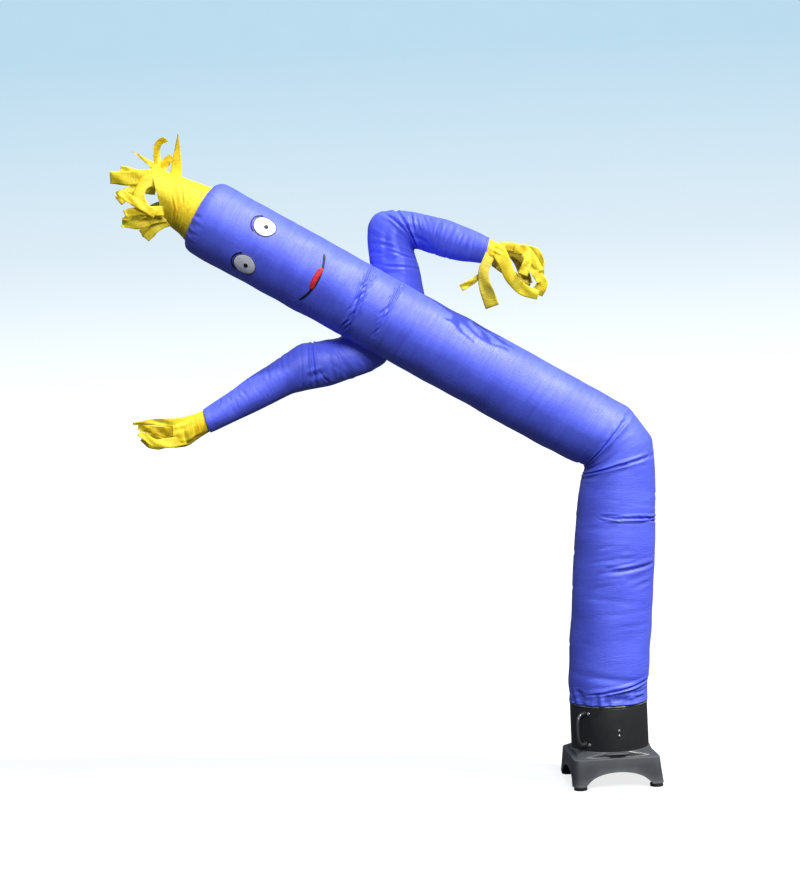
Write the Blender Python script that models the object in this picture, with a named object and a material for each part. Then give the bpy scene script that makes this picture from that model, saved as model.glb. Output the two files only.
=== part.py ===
"""Inflatable air dancer: a bent cloth tube with two arms and streamers, standing on its round blower.

Run with: blender --background --python part.py
Metres, +Z up. The origin is on the ground under the middle of the whole object, and the face looks along
-Y. The sizes below count from the blower's axis, and one empty moves everything from there to the origin.
Every cloth tube is lofted through rings. A ring lies in a plane that holds the Y axis and is given by
its low and high points in the XZ plane, with its half depth along Y.
"""
import math
from collections import namedtuple

import bmesh
import bpy
from mathutils import Matrix, Vector

# The blower's axis, counted from the origin
STAND_X = 0.8045
STAND_Y = 0.0090

# Cloth
CLOTH = 0.001
PIECE_GAP = 0.0004
BODY_SIDES = 30
SLEEVE_SIDES = 16

# Body tube: leg up to the knee, then the trunk and head leaning back to one side
HEM_Z = 0.310
HEM_RADIUS = 0.1525
TRUNK_START = (-0.139, 1.425)
TRUNK_SLOPE = math.radians(31.3)
TRUNK_LENGTH = 1.580
TRUNK_RADIUS = 0.1465
HEAD_RADIUS = 0.1480
SHOULDER_LENGTH = 0.040
CROWN_HOLE_RADIUS = 0.1165
BODY_RING_STEP = 0.150
SLEEVE_RING_STEP = 0.060

# Hem pleats where the tube is drawn in on the blower's collar
TIE_Z = 0.334
TIE_INNER_RADIUS = 0.1425
PLEAT_REACH = 0.070
PLEAT_WAVES = ((7.0, 1.0, 0.6), (11.0, 0.6, 2.0))
PLEAT_MEAN = 0.62
PLEAT_SWING = 0.38

# Blower, turned a little so that its left side shows
BLOWER_TURN = math.radians(3.5)
ROUND_SIDES = 48
DRUM_RADIUS = 0.1480
DRUM_FLARE = 0.0006
DRUM_WALL = 0.0035
DRUM_BOTTOM_Z = 0.104
DRUM_TOP_Z = 0.298
COLLAR_RADIUS = 0.1412
COLLAR_TOP_Z = 0.372
RIM_RADIUS = 0.0038
BASE_HALF_LOW = 0.174
BASE_HALF_HIGH = 0.164
BASE_CORNER_LOW = 0.030
BASE_CORNER_HIGH = 0.026
BASE_DEPTH_SHARE = 0.955
BASE_EDGE_Z = 0.110
BASE_TOP_Z = 0.136
BASE_WALL = 0.004
BASE_EDGE_ROUND = 0.006
BASE_DISH_CORNER = 0.060
COLLAR_LIP = 0.0015
FOOT_HEIGHT = 0.012
SKIRT_LIFT = 0.0008
FOOT_RADIUS = 0.025
FOOT_OFFSET = 0.145
ARCH_HALF = 0.128
ARCH_RISE = 0.050
ARCH_POWER = 2.8
ARCH_STEPS = 14
GRIP_ANGLE = math.radians(48.75)
BOLT_ANGLE = math.radians(41.25)
GRIP_LOW_Z = 0.161
GRIP_HIGH_Z = 0.279
GRIP_STANDOFF = 0.044
GRIP_RADIUS = 0.0062
SCREW_ANGLE = math.radians(-3.75)
SCREW_Z = (0.1975, 0.2165)
INLET_ANGLE = math.radians(153.75)
INLET_Z = 0.165
INLET_RADIUS = 0.011
INLET_LENGTH = 0.013
MOTOR_RADIUS = 0.050
MOTOR_Z = (0.190, 0.282)
BRACKET_ANGLE = math.radians(18.75)
FAN_Z = 0.172
FAN_HUB_HALF = 0.012
SHAFT_RADIUS = 0.007
FAN_RADIUS = 0.136
FAN_BLADES = 5
GUARD_Z = 0.112
GUARD_WIRE = 0.003
GUARD_RINGS = (0.100, 0.052)
BRACKET_HALF_HEIGHT = 0.011
BRACKET_WALL = 0.004
BRACKET_ARM_HEIGHT = 0.016
CUTTER_OVERRUN = 0.030
ARMHOLE_REACH = (0.020, 0.150)
ARMHOLE_INSET = 0.024
CUFF_OVERLAP = 0.012

Section = namedtuple("Section", "low_x low_z high_x high_z y half_depth")
Fold = namedtuple("Fold", "at around span width height slant")
Strip = namedtuple("Strip", "name slot mid_x mid_y mid_z tip_x tip_y tip_z tip_width turn")

# Leg and knee, from the hem up. The knee is a wedge between two mitre rings that meet on its inner side.
LEG_SECTIONS = (
    Section(-HEM_RADIUS, HEM_Z, HEM_RADIUS, HEM_Z, 0.0, HEM_RADIUS),
    Section(-HEM_RADIUS, TIE_Z, HEM_RADIUS, TIE_Z, 0.0, HEM_RADIUS),
    Section(-0.1525, 0.375, 0.1545, 0.370, 0.0, 0.1530),
    Section(-0.1300, 0.630, 0.1810, 0.622, 0.0, 0.1540),
    Section(-0.1045, 0.931, 0.2053, 0.918, 0.0, 0.1525),
    Section(-0.0818, 1.105, 0.2143, 1.092, 0.0, 0.1500),
    Section(-0.0620, 1.186, 0.2140, 1.255, 0.0, 0.1490),
    Section(-0.0530, 1.206, 0.2107, 1.315, 0.0, 0.1485),
    Section(-0.0560, 1.219, 0.1230, 1.435, 0.0, 0.1480),
    Section(-0.1000, 1.236, 0.0600, 1.472, 0.0, 0.1480),
)

# Creases of the body tube. "at" runs along its middle from the hem; "around" is 0 on the upper side of
# the trunk and 90 on the side of the face. Height is in metres, a ridge above 0 and a trough below it.
BODY_FOLDS = (
    Fold(0.095, 80.0, 95.0, 0.012, -0.0045, 0.022),
    Fold(0.690, 100.0, 110.0, 0.014, 0.0055, -0.006),
    Fold(0.716, 85.0, 120.0, 0.013, -0.0080, 0.004),
    Fold(0.912, 120.0, 100.0, 0.014, -0.0060, 0.000),
    Fold(1.028, 110.0, 90.0, 0.016, -0.0060, 0.000),
    Fold(1.995, 80.0, 75.0, 0.014, -0.0070, -0.004),
    Fold(1.930, 125.0, 45.0, 0.014, -0.0040, 0.006),
    Fold(2.088, 85.0, 105.0, 0.014, -0.0085, -0.030),
    Fold(2.120, 85.0, 105.0, 0.013, 0.0070, -0.030),
    Fold(2.152, 90.0, 90.0, 0.014, -0.0060, -0.028),
)

# Raised arm: low is its right or under side, high its left or upper side. It bends at the elbow.
RAISED_SECTIONS = (
    Section(-0.625, 1.830, -0.835, 1.895, 0.078, 0.072),
    Section(-0.640, 1.915, -0.842, 1.965, 0.080, 0.078),
    Section(-0.653, 1.999, -0.846, 2.033, 0.080, 0.086),
    Section(-0.669, 2.056, -0.852, 2.122, 0.075, 0.088),
    Section(-0.673, 2.073, -0.848, 2.186, 0.070, 0.088),
    Section(-0.673, 2.081, -0.818, 2.229, 0.066, 0.086),
    Section(-0.667, 2.083, -0.758, 2.237, 0.060, 0.084),
    Section(-0.648, 2.078, -0.682, 2.228, 0.050, 0.080),
    Section(-0.576, 2.042, -0.538, 2.181, -0.020, 0.072),
    Section(-0.494, 2.015, -0.459, 2.138, -0.068, 0.062),
    Section(-0.416, 2.000, -0.389, 2.095, -0.110, 0.050),
)
RAISED_CUFF = (
    Section(-0.385, 1.988, -0.351, 2.076, -0.128, 0.046),
    Section(-0.368, 1.978, -0.334, 2.066, -0.134, 0.044),
)
RAISED_FOLDS = (
    Fold(0.118, 40.0, 70.0, 0.014, -0.0060, 0.010),
    Fold(0.330, 45.0, 60.0, 0.012, -0.0080, 0.004),
    Fold(0.352, 60.0, 65.0, 0.010, 0.0055, 0.004),
    Fold(0.378, 50.0, 55.0, 0.011, -0.0070, -0.006),
    Fold(0.470, 100.0, 75.0, 0.014, -0.0040, -0.010),
    Fold(0.530, 120.0, 60.0, 0.012, 0.0035, -0.008),
    Fold(0.585, 95.0, 70.0, 0.013, -0.0040, -0.010),
)

# Lowered arm: low is its under side and high its upper side.
LOWERED_SECTIONS = (
    Section(-0.760, 1.710, -0.950, 1.805, 0.078, 0.072),
    Section(-0.805, 1.645, -0.972, 1.756, 0.080, 0.078),
    Section(-0.868, 1.613, -1.003, 1.748, 0.076, 0.086),
    Section(-0.940, 1.591, -1.034, 1.746, 0.070, 0.090),
    Section(-1.018, 1.567, -1.064, 1.742, 0.060, 0.090),
    Section(-1.058, 1.562, -1.098, 1.739, 0.055, 0.090),
    Section(-1.112, 1.556, -1.130, 1.735, 0.050, 0.088),
    Section(-1.166, 1.544, -1.212, 1.686, 0.040, 0.078),
    Section(-1.314, 1.476, -1.366, 1.587, 0.010, 0.063),
    Section(-1.483, 1.406, -1.507, 1.497, -0.025, 0.047),
)
LOWERED_CUFF = (
    Section(-1.525, 1.384, -1.539, 1.486, -0.032, 0.045),
    Section(-1.574, 1.352, -1.574, 1.477, -0.038, 0.040),
    Section(-1.622, 1.349, -1.620, 1.472, -0.044, 0.036),
)
LOWERED_FOLDS = (
    Fold(0.236, 75.0, 110.0, 0.011, -0.0080, 0.010),
    Fold(0.259, 75.0, 110.0, 0.010, 0.0080, 0.012),
    Fold(0.284, 75.0, 110.0, 0.011, -0.0085, 0.014),
    Fold(0.160, 120.0, 60.0, 0.014, -0.0035, 0.012),
    Fold(0.360, 110.0, 60.0, 0.014, -0.0030, 0.010),
)

# Hair: a short tube set into the crown's hole, its cut end slanting so that the upper side is longer
HAIR_START_OVERLAP = 0.014
HAIR_RADIUS_START = 0.1152
HAIR_SIDES = 16
HAIR_SECTIONS = (
    Section(-1.575, 2.180, -1.548, 2.389, 0.0, 0.1020),
    Section(-1.616, 2.213, -1.663, 2.431, 0.0, 0.0900),
)
HAIR_FOLDS = (
    Fold(0.075, 100.0, 60.0, 0.020, -0.0070, 0.020),
    Fold(0.120, 60.0, 60.0, 0.016, -0.0065, -0.016),
    Fold(0.128, 130.0, 55.0, 0.018, 0.0050, 0.012),
)
BAND_LENGTH = 0.010
BAND_PROUD = 0.003

# Streamers, cut from the bands' ends. "slot" counts the band's sides from its upper side over the face's
# side; "turn" is the tip's turn out of flat to the viewer in degrees.
HAIR_STRIPS = (
    Strip("spike", 14, -1.562, 0.020, 2.486, -1.558, 0.010, 2.564, 0.004, 10.0),
    Strip("curled", 12, -1.655, 0.100, 2.486, -1.618, 0.080, 2.551, 0.036, 25.0),
    Strip("thin", 0, -1.680, -0.030, 2.452, -1.735, -0.045, 2.497, 0.008, 10.0),
    Strip("wide", 1, -1.692, -0.055, 2.405, -1.819, -0.050, 2.394, 0.048, 0.0),
    Strip("loop", 4, -1.730, -0.150, 2.325, -1.672, -0.175, 2.241, 0.038, 0.0),
    Strip("lower_rolled", 5, -1.690, -0.088, 2.258, -1.797, -0.105, 2.237, 0.036, 15.0),
    Strip("low", 6, -1.682, -0.070, 2.223, -1.758, -0.075, 2.203, 0.038, 0.0),
    Strip("drop", 7, -1.652, -0.030, 2.197, -1.684, -0.045, 2.154, 0.042, 0.0),
    Strip("back_drop", 8, -1.679, 0.020, 2.211, -1.724, 0.020, 2.188, 0.034, 10.0),
    Strip("back_low", 9, -1.727, 0.060, 2.235, -1.803, 0.080, 2.243, 0.036, 20.0),
    Strip("back_high", 10, -1.730, 0.110, 2.360, -1.812, 0.110, 2.410, 0.036, 0.0),
)
RAISED_STRIPS = (
    Strip("over", 0, -0.276, -0.150, 2.050, -0.183, -0.146, 1.931, 0.040, 0.0),
    Strip("front", 2, -0.320, -0.178, 1.975, -0.220, -0.165, 1.873, 0.044, 0.0),
    Strip("hanging", 5, -0.433, -0.180, 1.934, -0.391, -0.165, 1.835, 0.048, 0.0),
    Strip("side", 7, -0.438, -0.140, 1.946, -0.506, -0.140, 1.905, 0.028, 0.0),
    Strip("back_low", 9, -0.330, -0.092, 1.990, -0.190, -0.075, 1.906, 0.040, 0.0),
    Strip("back", 11, -0.301, -0.070, 2.022, -0.226, -0.055, 1.978, 0.040, 10.0),
    Strip("fold_down", 14, -0.232, -0.105, 2.062, -0.262, -0.126, 1.928, 0.040, 0.0),
)
LOWERED_STRIPS = (
    Strip("upper_front", 1, -1.694, -0.072, 1.462, -1.775, -0.060, 1.452, 0.016, 0.0),
    Strip("lower_front", 5, -1.678, -0.086, 1.378, -1.754, -0.072, 1.423, 0.022, 0.0),
    Strip("under", 7, -1.690, -0.052, 1.364, -1.740, -0.046, 1.388, 0.024, 0.0),
    Strip("back", 10, -1.700, -0.012, 1.405, -1.761, -0.012, 1.425, 0.030, 0.0),
    Strip("back_high", 13, -1.690, -0.022, 1.458, -1.765, -0.026, 1.448, 0.024, 0.0),
)
STRIP_WIDTH = 0.036
ROOT_SHARE = 0.70
STRIP_STEPS = 7
STRIP_LEAVE_SHARE = 0.6
STRIP_TWIST_RATE = 1.3
STRIP_TWIST_START = 0.1
STRIP_WIDEN_RATE = 2.2


def clear_scene():
    """Remove every object of the open file."""
    for item in list(bpy.data.objects):
        bpy.data.objects.remove(item, do_unlink=True)


def make_stand():
    """Make the empty that carries every piece from the blower's axis to the origin."""
    stand = bpy.data.objects.new("stand", None)
    bpy.context.collection.objects.link(stand)
    stand.location = (STAND_X, STAND_Y, 0.0)


def make_material(name, colour, roughness, metallic=0.0, sheen=0.0):
    """Return a Principled material."""
    material = bpy.data.materials.new(name)
    material.use_nodes = True
    shader = material.node_tree.nodes["Principled BSDF"]
    shader.inputs["Base Color"].default_value = (*colour, 1.0)
    shader.inputs["Roughness"].default_value = roughness
    shader.inputs["Metallic"].default_value = metallic
    shader.inputs["Sheen Weight"].default_value = sheen
    material.diffuse_color = (*colour, 1.0)
    return material


def finish_mesh(name, mesh_data, material, parent=None, sharp=35.0):
    """Turn a bmesh into a named object with faces pointing out, shaded smooth up to the sharp angle."""
    bmesh.ops.recalc_face_normals(mesh_data, faces=mesh_data.faces)
    mesh = bpy.data.meshes.new(name)
    mesh_data.to_mesh(mesh)
    mesh_data.free()
    mesh.shade_smooth()
    mesh.set_sharp_from_angle(angle=math.radians(sharp))
    mesh.materials.append(material)
    item = bpy.data.objects.new(name, mesh)
    bpy.context.collection.objects.link(item)
    item.parent = parent or bpy.data.objects["stand"]
    return item


class Loft:
    """A tube's rings as a function of the distance along its middle line."""

    def __init__(self, sections, folds, ring_step):
        self.sections = sections
        self.folds = folds
        self.ring_step = ring_step
        self.distances = [0.0]
        for first, second in zip(sections, sections[1:]):
            step = (self.centre_of(second) - self.centre_of(first)).length
            self.distances.append(self.distances[-1] + step)
        self.length = self.distances[-1]

    @staticmethod
    def centre_of(section):
        """Return the middle point of a section."""
        return Vector(((section.low_x + section.high_x) / 2, section.y, (section.low_z + section.high_z) / 2))

    def section_at(self, distance):
        """Return the section at a distance, blended in a straight line between its two neighbours."""
        index = 0
        while index < len(self.sections) - 2 and distance > self.distances[index + 1]:
            index += 1
        start, end = self.distances[index], self.distances[index + 1]
        blend = (distance - start) / (end - start)
        pairs = zip(self.sections[index], self.sections[index + 1])
        return Section(*(low + (high - low) * blend for low, high in pairs))

    def fold_height(self, distance, angle):
        """Return how far the cloth stands out at a place because of the creases."""
        height = 0.0
        for fold in self.folds:
            away = math.remainder(angle - math.radians(fold.around), math.tau)
            reach = math.radians(fold.span)
            if abs(away) < reach:
                fade = math.cos(away / reach * math.pi / 2)
                along = (distance - fold.at - fold.slant * math.sin(away)) / fold.width
                height += fold.height * fade * math.exp(-along * along)
        return height

    def ring(self, distance, sides, offset=0.0):
        """Return one ring's points, moved out along the ring's own normals by offset."""
        section = self.section_at(distance)
        centre = self.centre_of(section)
        across = Vector((section.high_x, section.y, section.high_z)) - centre
        towards = Vector((0.0, -section.half_depth, 0.0))
        points = []
        for index in range(sides):
            angle = math.tau * index / sides
            point = centre + across * math.cos(angle) + towards * math.sin(angle)
            normal = across * (math.cos(angle) / across.length_squared)
            normal += towards * (math.sin(angle) / towards.length_squared)
            push = self.fold_height(distance, angle) + self.extra_height(distance, angle) + offset
            points.append(point + normal.normalized() * push)
        return points

    def extra_height(self, distance, angle):
        """Return a further change of the outline; plain tubes have none."""
        return 0.0

    def stations(self, start, end):
        """Return ring distances: one at each section, three at each crease, and even steps between."""
        wanted = {start, end}
        wanted.update(distance for distance in self.distances if start < distance < end)
        for fold in self.folds:
            for shift in (-fold.width, 0.0, fold.width):
                if start < fold.at + shift < end:
                    wanted.add(fold.at + shift)
        ordered = sorted(wanted)
        kept = [ordered[0]]
        for distance in ordered[1:]:
            if distance - kept[-1] > 0.009:
                kept.append(distance)
        kept[-1] = end
        filled = [kept[0]]
        for distance in kept[1:]:
            parts = max(1, math.ceil((distance - filled[-1]) / self.ring_step))
            begin = filled[-1]
            filled.extend(begin + (distance - begin) * part / parts for part in range(1, parts + 1))
        return filled


class BodyLoft(Loft):
    """The body tube, with the pleats that draw its hem in on the blower's collar."""

    def extra_height(self, distance, angle):
        """Return the pleats' height: troughs that touch the collar between uneven ridges."""
        above = abs(distance - (TIE_Z - HEM_Z))
        fade = max(0.0, 1.0 - above / PLEAT_REACH) ** 2
        wave = sum(size * math.sin(count * angle + start) for count, size, start in PLEAT_WAVES)
        depth = HEM_RADIUS - CLOTH - TIE_INNER_RADIUS
        return -depth * fade * min(1.0, max(0.0, PLEAT_MEAN - PLEAT_SWING * wave))


def open_tube(name, rings, material, wall=CLOTH):
    """Make an open tube through the rings and give it an inward wall."""
    shape = bmesh.new()
    loops = [[shape.verts.new(point) for point in ring] for ring in rings]
    for low, high in zip(loops, loops[1:]):
        for index in range(len(low)):
            following = (index + 1) % len(low)
            shape.faces.new((low[index], low[following], high[following]))
            shape.faces.new((low[index], high[following], high[index]))
    item = finish_mesh(name, shape, material)
    if outward_sign(item.data, rings) < 0:
        item.data.flip_normals()
    thick = item.modifiers.new("cloth", "SOLIDIFY")
    thick.thickness = wall
    thick.offset = -1.0
    thick.use_even_offset = True
    return item


def outward_sign(mesh, rings):
    """Return +1 if the tube's faces point away from its middle line, else -1."""
    middle = sum((Vector(point) for point in rings[0]), Vector()) / len(rings[0])
    face = mesh.polygons[0]
    return 1 if (face.center - middle).dot(face.normal) > 0 else -1


def closed_plug(name, rings):
    """Make a closed cutter through the rings."""
    shape = bmesh.new()
    loops = [[shape.verts.new(point) for point in ring] for ring in rings]
    for low, high in zip(loops, loops[1:]):
        for index in range(len(low)):
            following = (index + 1) % len(low)
            shape.faces.new((low[index], low[following], high[following], high[index]))
    shape.faces.new(loops[0])
    shape.faces.new(loops[-1])
    cutter = finish_mesh(name, shape, make_material(name, (0.5, 0.5, 0.5), 0.5))
    cutter.hide_render = True
    cutter.display_type = "WIRE"
    return cutter


def cut(item, cutter):
    """Cut a closed shape out of an object."""
    boolean = item.modifiers.new("cut_" + cutter.name, "BOOLEAN")
    boolean.operation = "DIFFERENCE"
    boolean.solver = "EXACT"
    boolean.object = cutter


def trunk_section(distance, radius):
    """Return a section square across the trunk, at a distance from its start."""
    centre_x = TRUNK_START[0] - distance * math.cos(TRUNK_SLOPE)
    centre_z = TRUNK_START[1] + distance * math.sin(TRUNK_SLOPE)
    side_x = radius * math.sin(TRUNK_SLOPE)
    side_z = radius * math.cos(TRUNK_SLOPE)
    return Section(centre_x - side_x, centre_z - side_z, centre_x + side_x, centre_z + side_z, 0.0, radius)


def body_loft():
    """Return the loft of the leg, knee, trunk and head."""
    neck = TRUNK_LENGTH - SHOULDER_LENGTH
    trunk = (
        trunk_section(0.0, TRUNK_RADIUS),
        trunk_section(0.45 * TRUNK_LENGTH, TRUNK_RADIUS - 0.0010),
        trunk_section(0.70 * TRUNK_LENGTH, TRUNK_RADIUS + 0.0010),
        trunk_section(neck, HEAD_RADIUS),
        trunk_section(neck + 0.45 * SHOULDER_LENGTH, HEAD_RADIUS - 0.0040),
        trunk_section(neck + 0.80 * SHOULDER_LENGTH, HEAD_RADIUS - 0.0140),
        trunk_section(TRUNK_LENGTH, CROWN_HOLE_RADIUS),
    )
    return BodyLoft(LEG_SECTIONS + trunk, BODY_FOLDS, BODY_RING_STEP)


def hair_loft():
    """Return the loft of the hair tube, which starts inside the crown's hole."""
    start = trunk_section(TRUNK_LENGTH - HAIR_START_OVERLAP, HAIR_RADIUS_START)
    mouth = trunk_section(TRUNK_LENGTH + 0.004, HAIR_RADIUS_START - 0.0004)
    return Loft((start, mouth) + HAIR_SECTIONS, HAIR_FOLDS, SLEEVE_RING_STEP)


def curve_point(start, control, middle, tip, share):
    """Return a point on a smooth curve from start towards control, near middle, to tip."""
    keep = 1.0 - share
    pull = (middle * 2.0 - (start + tip) * 0.5 + control) * 0.5
    return start * keep * keep * keep + (control * 3.0 * keep * keep * share
                                         + pull * 3.0 * keep * share * share + tip * share ** 3)


def join_flat_loops(shape, first, second):
    """Join two loops of four with triangles whose diagonals match on the two broad sides."""
    shape.faces.new((first[0], first[1], second[1]))
    shape.faces.new((first[0], second[1], second[0]))
    shape.faces.new((first[2], first[3], second[2]))
    shape.faces.new((first[3], second[3], second[2]))
    shape.faces.new((first[1], first[2], second[2], second[1]))
    shape.faces.new((first[3], first[0], second[0], second[3]))


def add_strip(shape, corners, row, leave):
    """Extrude one side of a band's end along a curve into a flat streamer that narrows to its tip."""
    points = [corner.co.copy() for corner in corners]
    start = sum(points, Vector()) / 4
    across = (points[1] - points[0]).normalized()
    root_width = (points[1] - points[0]).length
    middle = Vector((row.mid_x, row.mid_y, row.mid_z))
    tip = Vector((row.tip_x, row.tip_y, row.tip_z))
    control = start + leave * (middle - start).length * STRIP_LEAVE_SHARE
    track = [curve_point(start, control, middle, tip, step / STRIP_STEPS) for step in range(STRIP_STEPS + 1)]
    end_way = (track[-1] - track[-2]).normalized()
    flat = end_way.cross(Vector((0.0, 1.0, 0.0))).normalized()
    if flat.dot(across) < 0:
        flat.negate()
    flat.rotate(Matrix.Rotation(math.radians(row.turn), 3, end_way))
    previous = list(corners)
    for step in range(1, STRIP_STEPS + 1):
        share = step / STRIP_STEPS
        way = (track[min(step + 1, STRIP_STEPS)] - track[step - 1]).normalized()
        side = across.lerp(flat, max(0.0, min(1.0, share * STRIP_TWIST_RATE - STRIP_TWIST_START)))
        side = (side - way * side.dot(way)).normalized()
        face = way.cross(side).normalized()
        narrow = root_width * ROOT_SHARE
        full = narrow + (max(narrow, STRIP_WIDTH) - narrow) * min(1.0, share * STRIP_WIDEN_RATE)
        width = full + (row.tip_width - full) * share ** 3
        outward = (points[0] + points[1] - points[2] - points[3]).normalized()
        if step == 1 and face.dot(outward) < 0 or step > 1 and face.dot(last_face) < 0:
            face.negate()
        last_face = face
        half, lift = side * width / 2, face * CLOTH / 2
        spots = (track[step] - half + lift, track[step] + half + lift,
                 track[step] + half - lift, track[step] - half - lift)
        fresh = [shape.verts.new(spot) for spot in spots]
        join_flat_loops(shape, previous, fresh)
        previous = fresh
    shape.faces.new(previous)


def streamers(name, loft, start, end, sides, offset, rows, material):
    """Make a narrow band round a tube's cut end, with its streamers cut from the same cloth."""
    shape = bmesh.new()
    outer = [loft.ring(place, sides, offset) for place in (start, end)]
    inner = [loft.ring(place, sides, offset - CLOTH) for place in (start, end)]
    loops = [[shape.verts.new(point) for point in ring] for ring in (*outer, *inner)]
    low_out, high_out, low_in, high_in = loops
    leave = (loft.centre_of(loft.section_at(end)) - loft.centre_of(loft.section_at(start))).normalized()
    cut_slots = {row.slot: row for row in rows}
    for index in range(sides):
        following = (index + 1) % sides
        shape.faces.new((low_out[index], low_out[following], high_out[following], high_out[index]))
        shape.faces.new((low_in[index], high_in[index], high_in[following], low_in[following]))
        shape.faces.new((low_out[index], low_in[index], low_in[following], low_out[following]))
        corners = (high_out[index], high_out[following], high_in[following], high_in[index])
        if index in cut_slots:
            add_strip(shape, corners, cut_slots[index], leave)
        else:
            shape.faces.new(corners)
    return finish_mesh(name, shape, material)


def blower_frame():
    """Return the empty that turns the blower about its axis."""
    frame = bpy.data.objects.new("blower_frame", None)
    bpy.context.collection.objects.link(frame)
    frame.rotation_euler = (0.0, 0.0, BLOWER_TURN)
    frame.parent = bpy.data.objects["stand"]
    return frame


def turned(name, profile, sides, material, parent, sharp=35.0):
    """Turn a closed profile of (radius, height) points round the Z axis."""
    shape = bmesh.new()
    rings = []
    for index in range(sides):
        angle = math.tau * index / sides
        rings.append([shape.verts.new((radius * math.cos(angle), radius * math.sin(angle), height))
                      for radius, height in profile])
    for index, ring in enumerate(rings):
        following = rings[(index + 1) % sides]
        for point in range(len(profile)):
            after = (point + 1) % len(profile)
            shape.faces.new((ring[point], ring[after], following[after], following[point]))
    return finish_mesh(name, shape, material, parent, sharp)


def solid_turned(name, profile, sides, material, parent):
    """Turn an open profile whose ends lie on the axis into a closed solid."""
    shape = bmesh.new()
    bottom = shape.verts.new((0.0, 0.0, profile[0][1]))
    top = shape.verts.new((0.0, 0.0, profile[-1][1]))
    rings = []
    for radius, height in profile:
        rings.append([shape.verts.new((radius * math.cos(math.tau * index / sides),
                                       radius * math.sin(math.tau * index / sides), height))
                      for index in range(sides)])
    for index in range(sides):
        following = (index + 1) % sides
        shape.faces.new((bottom, rings[0][index], rings[0][following]))
        shape.faces.new((top, rings[-1][following], rings[-1][index]))
        for low, high in zip(rings, rings[1:]):
            shape.faces.new((low[index], low[following], high[following], high[index]))
    return finish_mesh(name, shape, material, parent)


def rounded_square(half, corner, height, sides):
    """Return points round a square with round corners, a little less deep than wide, from +X anticlockwise."""
    points = []
    for index in range(sides):
        angle = math.tau * index / sides
        along_x, along_y = math.cos(angle), math.sin(angle)
        reach = half / max(abs(along_x), abs(along_y))
        x, y = along_x * reach, along_y * reach
        inner = half - corner
        if abs(x) > inner and abs(y) > inner:
            base = Vector((math.copysign(inner, x), math.copysign(inner, y)))
            way = Vector((x, y)) - base
            way = way.normalized() * corner
            x, y = base.x + way.x, base.y + way.y
        points.append(Vector((x, y * BASE_DEPTH_SHARE, height)))
    return points


def round_ring(radius, height, sides):
    """Return points round a circle."""
    return [Vector((radius * math.cos(math.tau * index / sides), radius * math.sin(math.tau * index / sides),
                    height)) for index in range(sides)]


def make_base(material, parent):
    """Make the moulded base: a flared square skirt under a dished top with a round hole."""
    sides = ROUND_SIDES
    hole = DRUM_RADIUS + DRUM_FLARE + PIECE_GAP
    middle_half = (BASE_HALF_LOW + BASE_HALF_HIGH) / 2 - 0.002
    middle_corner = (BASE_CORNER_LOW + BASE_CORNER_HIGH) / 2
    rings = [
        rounded_square(BASE_HALF_LOW, BASE_CORNER_LOW, FOOT_HEIGHT + SKIRT_LIFT, sides),
        rounded_square(middle_half, middle_corner, (FOOT_HEIGHT + BASE_EDGE_Z) / 2, sides),
        rounded_square(BASE_HALF_HIGH, BASE_CORNER_HIGH, BASE_EDGE_Z - BASE_EDGE_ROUND, sides),
        rounded_square(BASE_HALF_HIGH - BASE_EDGE_ROUND / 3, BASE_CORNER_HIGH, BASE_EDGE_Z, sides),
        rounded_square(BASE_HALF_HIGH - BASE_EDGE_ROUND * 0.8, BASE_DISH_CORNER,
                       BASE_EDGE_Z + BASE_EDGE_ROUND / 2, sides),
        round_ring(hole + COLLAR_LIP, BASE_TOP_Z, sides),
        round_ring(hole - BASE_WALL, BASE_TOP_Z + COLLAR_LIP / 3, sides),
    ]
    base = open_tube("base_moulding", rings, material, BASE_WALL)
    base.parent = parent
    drum_way = closed_plug("drum_way", [round_ring(hole, DRUM_BOTTOM_Z - CUTTER_OVERRUN, ROUND_SIDES),
                                        round_ring(hole, BASE_TOP_Z + CUTTER_OVERRUN, ROUND_SIDES)])
    drum_way.parent = parent
    cut(base, drum_way)
    for name, turn in (("arch_front", 0.0), ("arch_side", math.pi / 2)):
        cutter = arch_cutter(name, parent)
        cutter.rotation_euler = (0.0, 0.0, turn)
        cut(base, cutter)
    return base


def arch_cutter(name, parent):
    """Make a bar with an arched top that runs through two opposite sides of the base."""
    shape = bmesh.new()
    outline = [(-ARCH_HALF, FOOT_HEIGHT - 0.004)]
    for step in range(ARCH_STEPS + 1):
        share = 2.0 * step / ARCH_STEPS - 1.0
        rise = max(0.0, 1.0 - abs(share) ** ARCH_POWER)
        outline.append((share * ARCH_HALF, FOOT_HEIGHT + ARCH_RISE * rise))
    outline.append((ARCH_HALF, FOOT_HEIGHT - 0.004))
    length = BASE_HALF_LOW + 0.020
    front = [shape.verts.new((x, -length, z)) for x, z in outline]
    back = [shape.verts.new((x, length, z)) for x, z in outline]
    shape.faces.new(front)
    shape.faces.new(back)
    for index in range(len(outline)):
        following = (index + 1) % len(outline)
        shape.faces.new((front[index], front[following], back[following], back[index]))
    cutter = finish_mesh(name, shape, make_material(name, (0.5, 0.5, 0.5), 0.5), parent)
    cutter.hide_render = True
    cutter.display_type = "WIRE"
    return cutter


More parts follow.
